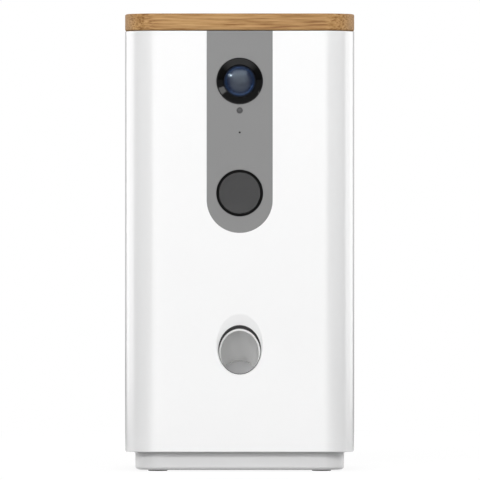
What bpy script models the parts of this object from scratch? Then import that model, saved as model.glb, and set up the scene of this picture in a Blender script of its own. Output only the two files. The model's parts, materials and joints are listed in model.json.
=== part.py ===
# Treat tossing pet camera: a white sleeve on a coved plinth, with a bamboo lid, a camera behind a grey
# fascia, a treat bin with a dosing wheel, and a spring plunger in an inclined launch tube.
# Metres, +Z up, origin at the middle of the underside, front toward -Y.

from math import acos, atan2, ceil, cos, floor, pi, radians, sin, sqrt, tan

import bmesh
import bpy
from mathutils import Matrix, Vector

# Clearances
GAP = 0.0003            # between pieces that seat on each other
RUN_GAP = 0.0005        # between pieces that move past each other
OVERRUN = 0.003         # how far a cutter runs past the face that it cuts

# Round forms
CORNER_STEPS = 6        # facets in a quarter of a rounded-square corner
EDGE_STEPS = 2          # facets in a small rounded edge
LARGE_SIDES = 32
MEDIUM_SIDES = 24
FOOT_SIDES = 16
SMALL_SIDES = 12
TINY_SIDES = 6
MERGE_DISTANCE = 0.00001
SMOOTH_ANGLE = radians(32)
QUARTER = pi / 2
DOME_SHOULDER_SHARE = 0.7       # of a shallow dome's radius, where it has fallen by half

# Sleeve
BODY_WIDTH = 0.1400
BODY_DEPTH = 0.1400
BODY_CORNER = 0.0200
BODY_BOTTOM = 0.0118
BODY_TOP = 0.2684
BODY_WALL = 0.0026
BODY_LOW_EDGE = 0.0012
BODY_TOP_EDGE = 0.0004

# Lid
LID_THICKNESS = 0.01025
LID_EDGE = 0.0010
PLUG_CLEARANCE = 0.0010
PLUG_DEPTH = 0.0080
PLUG_FLANGE = 0.0030
PLUG_WALL = 0.0048
PLUG_TOP = 0.0022
SEAL_HEIGHT = 0.0030
SEAL_DEPTH = 0.0020

# Plinth, its feet and its screws
BASE_SETBACK = 0.0062           # from the sleeve's faces
BASE_WALL = 0.0030
BASE_FLOOR = 0.0026
BASE_LOW_EDGE = 0.0020
BASE_COVE = 0.0025
FOOT_PROUD = 0.0008
FOOT_THICKNESS = 0.0018
FOOT_RADIUS = 0.0060
FOOT_INSET = 0.0138             # from the plinth's faces to a foot's centre
FOOT_EDGE = 0.0004
POST_RADIUS = 0.0052
SCREW_RADIUS = 0.0014
SCREW_HOLE_RADIUS = 0.0017
SCREW_HEAD_RADIUS = 0.0029
SCREW_HEAD_HEIGHT = 0.0020
SCREW_HEAD_DEPTH = 0.0052
SCREW_GRIP = 0.0120
BOSS_RADIUS = 0.0044
BOSS_HEIGHT = 0.0200
BOSS_WEB = 0.0024
BOSS_WEB_STEP = 0.0010          # from the boss's ends to its web

# Deck that carries the launcher and the boards
DECK_THICKNESS = 0.0024
RAIL_WIDTH = 0.0060
RAIL_HEIGHT = 0.0140

# Fascia
FASCIA_WIDTH = 0.0401
FASCIA_ROUND_HEIGHT = 0.1654    # height of the centre of its half-round lower end
FASCIA_FLANGE = 0.0025
FASCIA_FLANGE_THICKNESS = 0.0016

# Camera
LENS_HEIGHT = 0.2378
HOOD_RADIUS = 0.01395
HOOD_PROUD = 0.0005
HOOD_LIP = 0.0007
HOOD_INNER_RADIUS = 0.0103
HOOD_CONE_DEPTH = 0.0036
HOOD_NECK_RADIUS = 0.0121
HOOD_NECK_LENGTH = 0.0055
HOOD_STEP = 0.0004
GLASS_RADIUS = 0.0094
GLASS_EDGE = 0.0021
GLASS_DOME = 0.0019
GLASS_SEAT = 0.0012
BARREL_RADIUS = 0.0070
BARREL_CUP_RADIUS = 0.0052
BARREL_CUP_DEPTH = 0.0030
BARREL_IRIS_RADIUS = 0.0030
BARREL_IRIS_DOME = 0.0008
BARREL_SETBACK = 0.0006
HOLDER_WIDTH = 0.0160
HOLDER_DEPTH = 0.0040
BOARD_THICKNESS = 0.0016
CAMERA_BOARD_WIDTH = 0.0300
CAMERA_BOARD_DEPTH = 0.0220     # from the front face to the board's front
CAMERA_POST_SPACING = 0.0240

# Carrier plate behind the fascia
CARRIER_WIDTH = 0.0460
CARRIER_THICKNESS = 0.0020
CARRIER_BOTTOM = 0.1530
CARRIER_ROOM = 0.0044           # under the lid's plug
CARRIER_CORNER = 0.0050
CARRIER_POST_RADIUS = 0.0020

# Light sensor and microphone
SENSOR_HEIGHT = 0.2199
SENSOR_RADIUS = 0.0016
SENSOR_DOME = 0.0003
SENSOR_FLANGE_RADIUS = 0.0026
MIC_HEIGHT = 0.2065
MIC_HOLE_RADIUS = 0.00062
MIC_RADIUS = 0.0030
SENSOR_BOARD_WIDTH = 0.0200
SENSOR_BOARD_BOTTOM = 0.2000
SENSOR_BOARD_TOP = 0.2245

# Night-vision window
IR_HEIGHT = 0.1696
IR_RADIUS = 0.0140
IR_RING_WIDTH = 0.0012
IR_SILL = 0.0014
IR_WINDOW_THICKNESS = 0.0020
IR_WINDOW_SETBACK = 0.0004
IR_EDGE = 0.0003
IR_BOARD_WIDTH = 0.0300
IR_BOARD_HEIGHT = 0.0200
IR_BOARD_DEPTH = 0.0120         # from the front face to the board's front
IR_EMITTER_RADIUS = 0.0024
IR_EMITTER_HEIGHT = 0.0022
IR_EMITTER_SPACING = 0.0090
IR_EMITTER_TIP_SHARE = 0.6

# Treat bin
BIN_SIDE_ROOM = 0.0074          # from the sleeve's inner faces
BIN_FRONT_ROOM = 0.0330         # from the front face
BIN_BACK_ROOM = 0.0100          # from the rear face
BIN_CORNER = 0.0120
BIN_WALL = 0.0020
BIN_FUNNEL_TOP = 0.1720
BIN_FUNNEL_BOTTOM = 0.1410
BIN_FLOOR = 0.1220
BIN_RIM_DROP = 0.0006           # from the lid plug's underside to the rim
LEDGE_WIDTH = 0.0120
LEDGE_DEPTH = 0.0030
LEDGE_HEIGHT = 0.0060
LEDGE_INSET = 0.0274            # from the sleeve's inner front and rear faces

# Dosing wheel
WHEEL_SHIFT = 0.0015            # toward the front from the middle of the bin
WHEEL_MARGIN = 0.0025           # from the bin's nearest wall
WHEEL_HEIGHT = 0.0160
POCKET_RADIUS = 0.0105
POCKET_RIM = 0.0025
POCKET_WALL = 0.0100
WHEEL_HUB_RADIUS = 0.0085
WHEEL_HUB_HEIGHT = 0.0045
CHAMBER_CLEARANCE = 0.0008
BAFFLE_THICKNESS = 0.0016
BAFFLE_LIFT = 0.0012
BAFFLE_INNER_RADIUS = 0.0120
BAFFLE_HALF_ANGLE = radians(36)
AGITATOR_CORE_RADIUS = 0.0075
AGITATOR_HEIGHT = 0.0060
AGITATOR_ARMS = 3
AGITATOR_MARGIN = 0.0100        # from the wheel's rim
AGITATOR_ARM_WIDTH = 0.0060
AGITATOR_TIP_WIDTH = 0.0030
AGITATOR_ARM_HEIGHT = 0.0030

# Gearmotors
MOTOR_WIDTH = 0.0120
MOTOR_DEPTH = 0.0100
GEARBOX_LENGTH = 0.0090
MOTOR_CAN_LENGTH = 0.0150
MOTOR_TERMINAL = 0.0020
MOTOR_SHAFT_RADIUS = 0.0015
MOTOR_SEAM = 0.0004
SOCKET_WALL = 0.0020
SOCKET_HEIGHT = 0.0100
DOSING_SHAFT_LENGTH = 0.0100

# Outlet, launch tube and drop port
LAUNCH_ANGLE = radians(30)
OUTLET_HEIGHT = 0.0747
OUTLET_RADIUS = 0.0130
FLARE_WIDTH = 0.0284
FLARE_HEIGHT = 0.0385
FLARE_CENTRE_HEIGHT = 0.0772
FLARE_DEPTH = 0.0020
FLARE_RINGS = 4
COLLAR_WALL = 0.0022
COLLAR_DEPTH = 0.0130
NOSE_RADIUS = 0.0127
NOSE_SETBACK = 0.0037
TUBE_BORE_RADIUS = 0.0117
TUBE_RADIUS = 0.0142
TUBE_SHOULDER = 0.0245          # along the tube's axis from the front face
TUBE_END = 0.0905
PORT_RADIUS = 0.0110
PORT_WALL = 0.0016
PORT_TOP = 0.0800
CHUTE_LIP = 0.0020
CHUTE_LIP_HEIGHT = 0.0016

# Plunger, rack and spring
PLUNGER_RADIUS = 0.0113
PLUNGER_FACE = 0.0336           # along the tube's axis from the front face
PLUNGER_HEAD = 0.0030
PLUNGER_WALL = 0.0018
PLUNGER_EDGE = 0.0006
RACK_MODULE = 0.0010
RACK_GAPS = 9
RACK_WIDTH = 0.0060
RACK_BACKLASH = 0.0003
RACK_SLOT_GAP = 0.0006
RACK_TIP_GAP = 0.0010           # from the skirt to the rack's roots
RACK_TAIL_SHARE = 0.75          # of a pitch, from the last gap's middle to the plunger's end
PRESSURE_ANGLE = radians(20)
ADDENDUM_SHARE = 1.0
DEDENDUM_SHARE = 1.25
SPRING_WIRE_RADIUS = 0.0006
SPRING_COIL_RADIUS = 0.0074
SPRING_TURNS = 12
SPRING_POINTS = 8               # on one turn
CAP_THICKNESS = 0.0024
CAP_SPIGOT = 0.0016
CAP_PIN_RADIUS = 0.0063
CAP_PIN_LENGTH = 0.0130
CAP_FOOT_WIDTH = 0.0200
CAP_FOOT_DEPTH = 0.0080

# Gears of the launcher
SECTOR_TEETH = 16               # of a whole gear of this pitch
SECTOR_KEPT = 9
SECTOR_WIDTH = 0.0050
GEAR_BACKLASH = 0.00025
GEAR_HUB_RADIUS = 0.0040
GEAR_SIDE_GAP = 0.0006
DRIVE_MODULE = 0.0008
DRIVE_TEETH = 30
DRIVE_WIDTH = 0.0040
DRIVE_RIM = 0.0030
DRIVE_WEB = 0.0016
DRIVE_SIDE_GAP = 0.0034
PINION_TEETH = 10
FLANK_STEPS = 3
AXLE_RADIUS = 0.0015
AXLE_HEAD_RADIUS = 0.0026
AXLE_HEAD = 0.0012
AXLE_CLIP_RADIUS = 0.0024
AXLE_CLIP = 0.0006

# Cheeks
CHEEK_SPAN = 0.0180
CHEEK_THICKNESS = 0.0024
CHEEK_NOSE = 0.0105             # in front of the motor pinion's centre
CHEEK_TAIL = 0.0290             # behind the axle's centre

# Boards, speaker, socket and button
MAIN_BOARD_HEIGHT = 0.0740
MAIN_BOARD_FRONT = -0.0300
MAIN_BOARD_BACK = 0.0450
MAIN_BOARD_INSET = 0.0060       # from the sleeve's inner face
BOARD_LIFT = 0.0015             # of a board's lower edge over the deck
CHIP_HEIGHT = 0.0014
CHIP_WIDTH = 0.0140
CAN_RADIUS = 0.0040
CAN_HEIGHT = 0.0080
PLUG_STRIP_LENGTH = 0.0120
PLUG_STRIP_HEIGHT = 0.0050
PLUG_STRIP_WIDTH = 0.0050
SPEAKER_HEIGHT = 0.0700
SPEAKER_RADIUS = 0.0180
SPEAKER_DEPTH = 0.0120
SPEAKER_RIM = 0.0012
SPEAKER_RIM_WIDTH = 0.0025
SPEAKER_MAGNET_RADIUS = 0.0100
SPEAKER_MAGNET = 0.0045
SPEAKER_CONE_DEPTH = 0.0040
SPEAKER_DOME_RADIUS = 0.0050
SPEAKER_DOME_SHARE = 0.6
SPEAKER_RING_WALL = 0.0016
SPEAKER_RING_DEPTH = 0.0030
GRILLE_RADIUS = 0.0130
GRILLE_PITCH = 0.0044
GRILLE_HOLE_RADIUS = 0.0011
POWER_BOARD_LEFT = -0.0160
POWER_BOARD_RIGHT = 0.0360
POWER_BOARD_HEIGHT = 0.0200
POWER_BOARD_INSET = 0.0092      # from the sleeve's rear face inside to the board's rear face
SOCKET_PLACE_HEIGHT = 0.0260
SOCKET_WIDTH = 0.0090
SOCKET_THICKNESS = 0.0032
SOCKET_SKIN = 0.0004
SOCKET_CAVITY = 0.0062
SOCKET_TONGUE = 0.0008
SOCKET_TONGUE_LENGTH = 0.0050
SOCKET_SETBACK = 0.0014
RECESS_WIDTH = 0.0130
RECESS_HEIGHT = 0.0072
BUTTON_PLACE = 0.0240
BUTTON_RADIUS = 0.0025
BUTTON_FLANGE_RADIUS = 0.0036
BUTTON_FLANGE = 0.0012
BUTTON_STEM_RADIUS = 0.0016
BUTTON_PROUD = 0.0005
BUTTON_TRAVEL = 0.0008
BUTTON_EDGE = 0.0003
SWITCH_WIDTH = 0.0060
SWITCH_DEPTH = 0.0035

# Sizes that follow from the ones above
FRONT = -BODY_DEPTH / 2
BACK = BODY_DEPTH / 2
INNER_HALF_WIDTH = BODY_WIDTH / 2 - BODY_WALL
INNER_HALF_DEPTH = BODY_DEPTH / 2 - BODY_WALL
INNER_CORNER = BODY_CORNER - BODY_WALL
INNER_BACK = BACK - BODY_WALL
BASE_HALF_WIDTH = BODY_WIDTH / 2 - BASE_SETBACK
BASE_HALF_DEPTH = BODY_DEPTH / 2 - BASE_SETBACK
BASE_CORNER = BODY_CORNER - BASE_SETBACK
FOOT_X = BASE_HALF_WIDTH - FOOT_INSET
FOOT_Y = BASE_HALF_DEPTH - FOOT_INSET
LID_BOTTOM = BODY_TOP + GAP
LID_TOP = LID_BOTTOM + LID_THICKNESS
PLUG_LOW = LID_BOTTOM - GAP - PLUG_DEPTH
CARRIER_TOP = PLUG_LOW - CARRIER_ROOM
SEAL_LOW = LID_BOTTOM - GAP - PLUG_FLANGE - GAP - SEAL_HEIGHT
DECK_LOW = BODY_BOTTOM + GAP
DECK_TOP = DECK_LOW + DECK_THICKNESS
BOSS_LOW = DECK_TOP + GAP
BOSS_WEB_REACH = sqrt(2) * (INNER_HALF_WIDTH - INNER_CORNER - FOOT_X) + INNER_CORNER + BODY_WALL / 2
SCREW_HEAD_LOW = FOOT_PROUD + SCREW_HEAD_DEPTH - SCREW_HEAD_HEIGHT
SCREW_TIP = BOSS_LOW + SCREW_GRIP
FASCIA_BACK = FRONT + BODY_WALL + GAP + FASCIA_FLANGE_THICKNESS
CARRIER_FRONT = FASCIA_BACK + GAP
CARRIER_BACK = CARRIER_FRONT + CARRIER_THICKNESS
SENSOR_BOARD_FRONT = CARRIER_BACK + GAP
CAMERA_BOARD_FRONT = FRONT + CAMERA_BOARD_DEPTH
IR_BOARD_FRONT = FRONT + IR_BOARD_DEPTH
BIN_TOP = PLUG_LOW - BIN_RIM_DROP
BIN_HALF_WIDTH = INNER_HALF_WIDTH - BIN_SIDE_ROOM
BIN_FRONT = FRONT + BIN_FRONT_ROOM
BIN_BACK = BACK - BIN_BACK_ROOM
BIN_HALF_DEPTH = (BIN_BACK - BIN_FRONT) / 2
BIN_CENTRE_Y = (BIN_FRONT + BIN_BACK) / 2
LEDGE_PLACE = INNER_HALF_DEPTH - LEDGE_INSET
WHEEL_CENTRE_Y = BIN_CENTRE_Y - WHEEL_SHIFT
WHEEL_RADIUS = min(BIN_HALF_WIDTH, BIN_HALF_DEPTH) - WHEEL_MARGIN
POCKET_CIRCLE = WHEEL_RADIUS - POCKET_RADIUS - POCKET_RIM
WHEEL_POCKETS = floor(2 * pi * POCKET_CIRCLE / (2 * POCKET_RADIUS + POCKET_WALL))
AGITATOR_REACH = WHEEL_RADIUS - AGITATOR_MARGIN
CHAMBER_RADIUS = WHEEL_RADIUS + CHAMBER_CLEARANCE
WHEEL_LOW = BIN_FLOOR + RUN_GAP
WHEEL_TOP = WHEEL_LOW + WHEEL_HEIGHT
HUB_TOP = WHEEL_TOP + WHEEL_HUB_HEIGHT
BAFFLE_LOW = WHEEL_TOP + BAFFLE_LIFT
DROP_Y = WHEEL_CENTRE_Y - POCKET_CIRCLE
CHAMBER_UNDERSIDE = BIN_FLOOR - BIN_WALL
RACK_PITCH = pi * RACK_MODULE
STROKE = (RACK_GAPS - 1) * RACK_PITCH
SECTOR_RADIUS = SECTOR_TEETH * RACK_MODULE / 2
RACK_LINE = PLUNGER_RADIUS + RACK_TIP_GAP + DEDENDUM_SHARE * RACK_MODULE
AXLE_DROP = RACK_LINE + SECTOR_RADIUS
RACK_FRONT = PLUNGER_FACE + PLUNGER_EDGE
AXLE_PLACE = RACK_FRONT + STROKE + RACK_PITCH / 2
PLUNGER_END = AXLE_PLACE + RACK_TAIL_SHARE * RACK_PITCH
DRIVE_RADIUS = DRIVE_TEETH * DRIVE_MODULE / 2
PINION_RADIUS = PINION_TEETH * DRIVE_MODULE / 2
CHEEK_INNER = CHEEK_SPAN / 2
CHEEK_OUTER = CHEEK_INNER + CHEEK_THICKNESS
DRIVE_LOW_X = CHEEK_OUTER + DRIVE_SIDE_GAP
DRIVE_HIGH_X = DRIVE_LOW_X + DRIVE_WIDTH

# Frames: each turns a piece's own Z axis to where the piece points
MOUTH = Vector((0, FRONT, OUTLET_HEIGHT))
OUTWARD = Vector((0, -cos(LAUNCH_ANGLE), sin(LAUNCH_ANGLE)))
UPWARD = Vector((0, sin(LAUNCH_ANGLE), cos(LAUNCH_ANGLE)))


def frame(x_axis, y_axis, z_axis, origin):
    turn = Matrix((x_axis, y_axis, z_axis)).transposed().to_4x4()
    return Matrix.Translation(origin) @ turn


def upright_frame(x=0.0, y=0.0, z=0.0):
    return Matrix.Translation((x, y, z))


def front_frame(x, y, z):
    # Own Z points out of the front, own Y points up
    return frame((1, 0, 0), (0, 0, 1), (0, -1, 0), (x, y, z))


def rear_frame(x, y, z):
    # Own Z points out of the back, own Y points up
    return frame((-1, 0, 0), (0, 0, 1), (0, 1, 0), (x, y, z))


def side_frame(x, y, z):
    # Own Z points along +X, own Y points up
    return frame((0, 1, 0), (0, 0, 1), (1, 0, 0), (x, y, z))


def launch_frame(place, rise=0.0):
    # Own Z points up the tube toward its mouth; place is measured inward from the front face
    return frame((1, 0, 0), UPWARD, OUTWARD, MOUTH - OUTWARD * place + UPWARD * rise)


AXLE_CENTRE = MOUTH - OUTWARD * AXLE_PLACE - UPWARD * AXLE_DROP
PINION_CENTRE = AXLE_CENTRE - Vector((0, DRIVE_RADIUS + PINION_RADIUS, 0))
CHEEK_FRONT = PINION_CENTRE.y - CHEEK_NOSE
CHEEK_BACK = AXLE_CENTRE.y + CHEEK_TAIL


# Scene, materials and modelling tools

def clear_scene():
    for old in list(bpy.data.objects):
        bpy.data.objects.remove(old, do_unlink=True)
    for old in list(bpy.data.collections):
        bpy.data.collections.remove(old)


def new_collection(name):
    collection = bpy.data.collections.new(name)
    bpy.context.scene.collection.children.link(collection)
    return collection


clear_scene()
PARTS = new_collection("treat_tossing_camera")
CUTTERS = new_collection("cutters")


def finish(name, colour, roughness, metallic=0.0, alpha=1.0):
    material = bpy.data.materials.new(name)
    material.use_nodes = True
    shader = material.node_tree.nodes["Principled BSDF"]
    shader.inputs["Base Color"].default_value = (*colour, 1.0)
    shader.inputs["Roughness"].default_value = roughness
    shader.inputs["Metallic"].default_value = metallic
    shader.inputs["Alpha"].default_value = alpha
    material.diffuse_color = (*colour, alpha)
    return material


FINISHES = {
    "white_shell": finish("white_shell", (0.86, 0.86, 0.86), 0.28),
    "grey_fascia": finish("grey_fascia", (0.27, 0.27, 0.27), 0.45),
    "bamboo": finish("bamboo", (0.47, 0.27, 0.12), 0.5),
    "light_grey_base": finish("light_grey_base", (0.66, 0.66, 0.66), 0.4),
    "black_gloss": finish("black_gloss", (0.015, 0.015, 0.017), 0.12),
    "black_matte": finish("black_matte", (0.03, 0.03, 0.03), 0.6),
    "lens_glass": finish("lens_glass", (0.2, 0.24, 0.5), 0.02, 0.0, 0.4),
    "smoked_window": finish("smoked_window", (0.05, 0.05, 0.05), 0.1, 0.0, 0.7),
    "silicone": finish("silicone", (0.75, 0.75, 0.73), 0.6),
    "rubber": finish("rubber", (0.05, 0.05, 0.05), 0.85),
    "steel": finish("steel", (0.62, 0.62, 0.63), 0.3, 1.0),
    "brass": finish("brass", (0.72, 0.52, 0.22), 0.3, 1.0),
    "spring_steel": finish("spring_steel", (0.5, 0.5, 0.52), 0.25, 1.0),
    "clear_plastic": finish("clear_plastic", (0.8, 0.82, 0.84), 0.15, 0.0, 0.6),
    "natural_plastic": finish("natural_plastic", (0.78, 0.78, 0.75), 0.4),
    "grey_plastic": finish("grey_plastic", (0.35, 0.35, 0.36), 0.45),
    "orange_plastic": finish("orange_plastic", (0.8, 0.25, 0.05), 0.4),
    "circuit_board": finish("circuit_board", (0.02, 0.16, 0.07), 0.45),
}


def to_mesh(name, shape):
    bmesh.ops.recalc_face_normals(shape, faces=shape.faces)
    mesh = bpy.data.meshes.new(name)
    shape.to_mesh(mesh)
    shape.free()
    mesh.shade_smooth()
    mesh.set_sharp_from_angle(angle=SMOOTH_ANGLE)
    return mesh


def add_part(name, mesh, look, place=None):
    part = bpy.data.objects.new(name, mesh)
    part.matrix_world = place or Matrix.Identity(4)
    mesh.materials.clear()
    mesh.materials.append(FINISHES[look])
    PARTS.objects.link(part)
    return part


def add_tool(name, mesh, place=None):
    tool = bpy.data.objects.new(name, mesh)
    tool.matrix_world = place or Matrix.Identity(4)
    tool.hide_render = True
    tool.display_type = "WIRE"
    CUTTERS.objects.link(tool)
    return tool


def combine(part, operation, tool):
    step = part.modifiers.new(tool.name, "BOOLEAN")
    step.operation = operation
    step.solver = "EXACT"
    step.object = tool


def cut(part, name, mesh, place=None):
    combine(part, "DIFFERENCE", add_tool(name, mesh, place))


def join(part, name, mesh, place=None):
    combine(part, "UNION", add_tool(name, mesh, place))


def block(name, low, high):
    shape = bmesh.new()
    low, high = Vector(low), Vector(high)
    spans = high - low
    bmesh.ops.create_cube(shape, size=spans.x)
    bmesh.ops.scale(shape, vec=spans / spans.x, verts=shape.verts)
    bmesh.ops.translate(shape, vec=(low + high) / 2, verts=shape.verts)
    return to_mesh(name, shape)


def rod(name, radius, low, high, sides=MEDIUM_SIDES, end_radius=None):
    shape = bmesh.new()
    bmesh.ops.create_cone(
        shape, cap_ends=True, segments=sides, depth=high - low,
        radius1=radius, radius2=radius if end_radius is None else end_radius,
    )
    bmesh.ops.translate(shape, vec=(0, 0, (low + high) / 2), verts=shape.verts)
    return to_mesh(name, shape)


def profile_mesh(name, profile, closed=False):
    shape = bmesh.new()
    points = [shape.verts.new((radius, 0, height)) for radius, height in profile]
    for first, second in zip(points, points[1:]):
        shape.edges.new((first, second))
    if closed:
        shape.edges.new((points[-1], points[0]))
    mesh = bpy.data.meshes.new(name)
    shape.to_mesh(mesh)
    shape.free()
    return mesh


def turn(part, sides):
    screw = part.modifiers.new("turned", "SCREW")
    screw.steps = sides
    screw.render_steps = sides
    screw.use_merge_vertices = True
    screw.merge_threshold = MERGE_DISTANCE
    screw.use_smooth_shade = True


def turned_part(name, profile, look, place, sides=MEDIUM_SIDES, closed=False):
    # The profile runs down the outer side, and up the inner side where it is closed
    part = add_part(name, profile_mesh(name, profile, closed), look, place)
    turn(part, sides)
    return part


def arc(centre_x, centre_y, radius, start, end, steps):
    return [
        (centre_x + radius * cos(start + (end - start) * step / steps),
         centre_y + radius * sin(start + (end - start) * step / steps))
        for step in range(steps + 1)
    ]


def rounded_outline(half_x, half_y, radius, centre_x=0.0, centre_y=0.0, steps=CORNER_STEPS):
    points = []
    for quarter, (side_x, side_y) in enumerate(((1, 1), (-1, 1), (-1, -1), (1, -1))):
        points += arc(
            centre_x + side_x * (half_x - radius), centre_y + side_y * (half_y - radius),
            radius, quarter * QUARTER, (quarter + 1) * QUARTER, steps,
        )
    return points


def circle_outline(radius, centre_x=0.0, centre_y=0.0, sides=MEDIUM_SIDES, start=0.0):
    return arc(centre_x, centre_y, radius, start, start + 2 * pi * (sides - 1) / sides, sides - 1)


def matching_circle(radius, centre_x, centre_y):
    # As many points as a rounded outline has, spread evenly
    sides = 4 * (CORNER_STEPS + 1)
    return circle_outline(radius, centre_x, centre_y, sides, pi / sides)


def loft(name, sections):
    # A solid through sections: each is an outline and a height, and all outlines have as many points
    shape = bmesh.new()
    rings = [[shape.verts.new((x, y, height)) for x, y in outline] for outline, height in sections]
    for lower, upper in zip(rings, rings[1:]):
        for index, corner in enumerate(lower):
            after = (index + 1) % len(lower)
            shape.faces.new((corner, lower[after], upper[after], upper[index]))
    shape.faces.new(rings[0])
    shape.faces.new(rings[-1])
    bmesh.ops.remove_doubles(shape, verts=shape.verts, dist=MERGE_DISTANCE)
    return to_mesh(name, shape)


def rounded_stack(name, half_x, half_y, radius, levels):
    # A rounded block whose outline is drawn in at each level: levels are (inset, height)
    sections = [
        (rounded_outline(half_x - inset, half_y - inset, radius - inset), height)
        for inset, height in levels
    ]
    return loft(name, sections)


def rounded_edge(radius, height, rising):
    # Levels of a rounded edge: at the foot of a block it widens upward, at the top it draws in
    levels = []
    for step in range(EDGE_STEPS + 1):
        angle = QUARTER * step / EDGE_STEPS
        if rising:
            levels.append((radius * (1 - sin(angle)), height + radius * (1 - cos(angle))))
        else:
            levels.append((radius * (1 - cos(angle)), height - radius * (1 - sin(angle))))
    return levels


def plate(name, outlines, low, high):
    # A flat plate from outlines in its own XY plane; inner outlines are its holes
    curve = bpy.data.curves.new(name, "CURVE")
    curve.dimensions = "2D"
    curve.fill_mode = "BOTH"
    curve.extrude = (high - low) / 2
    for outline in outlines:
        spline = curve.splines.new("POLY")
        spline.points.add(len(outline) - 1)
        for point, (x, y) in zip(spline.points, outline):
            point.co = (x, y, 0, 1)
        spline.use_cyclic_u = True
    return curve_to_mesh(name, curve, Matrix.Translation((0, 0, (low + high) / 2)))


def curve_to_mesh(name, curve, shift):
    carrier = bpy.data.objects.new(name + "_outline", curve)
    CUTTERS.objects.link(carrier)
    bpy.context.view_layer.update()
    solid = carrier.evaluated_get(bpy.context.evaluated_depsgraph_get())
    mesh = bpy.data.meshes.new_from_object(solid)
    bpy.data.objects.remove(carrier)
    shape = bmesh.new()
    shape.from_mesh(mesh)
    bpy.data.meshes.remove(mesh)
    bmesh.ops.remove_doubles(shape, verts=shape.verts, dist=MERGE_DISTANCE)
    bmesh.ops.transform(shape, matrix=shift, verts=shape.verts)
    return to_mesh(name, shape)


def oblique_rod(name, radius, front, back, sides=LARGE_SIDES):
    # A rod along the launch axis whose ends are upright planes
    shape = bmesh.new()
    bmesh.ops.create_cone(
        shape, cap_ends=True, segments=sides, depth=back - front, radius1=radius, radius2=radius,
    )
    lay = Matrix((
        (1, 0, 0, 0), (0, 0, 1, 0), (0, 1 / cos(LAUNCH_ANGLE), -tan(LAUNCH_ANGLE), 0), (0, 0, 0, 1)))
    middle = (front + back) / 2
    rise = OUTLET_HEIGHT - (middle - FRONT) * tan(LAUNCH_ANGLE)
    bmesh.ops.transform(shape, matrix=Matrix.Translation((0, middle, rise)) @ lay, verts=shape.verts)
    return to_mesh(name, shape)


def corners(x_place, y_place):
    return [(x, y) for x in (-x_place, x_place) for y in (-y_place, y_place)]


# Sleeve

def flare_sections():
    # The scoop runs from its wide outline on the front face to the round bore behind it
    bore_height = OUTLET_HEIGHT - FLARE_DEPTH * tan(LAUNCH_ANGLE)
    inner_x = OUTLET_RADIUS - GAP
    inner_z = inner_x / cos(LAUNCH_ANGLE)
    sections = []
    for step in range(FLARE_RINGS + 1):
        share = step / FLARE_RINGS
        ease = 1 - sqrt(1 - share * share)
        half_x = FLARE_WIDTH / 2 + (inner_x - FLARE_WIDTH / 2) * share
        half_z = FLARE_HEIGHT / 2 + (inner_z - FLARE_HEIGHT / 2) * share
        middle = FLARE_CENTRE_HEIGHT + (bore_height - FLARE_CENTRE_HEIGHT) * share
        outline = [
            (half_x * x / half_z, middle - OUTLET_HEIGHT + z)
            for x, z in circle_outline(half_z, sides=LARGE_SIDES)
        ]
        sections.append((outline, -FLARE_DEPTH * ease))
    first = sections[0][0]
    return [(first, OVERRUN)] + sections


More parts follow.
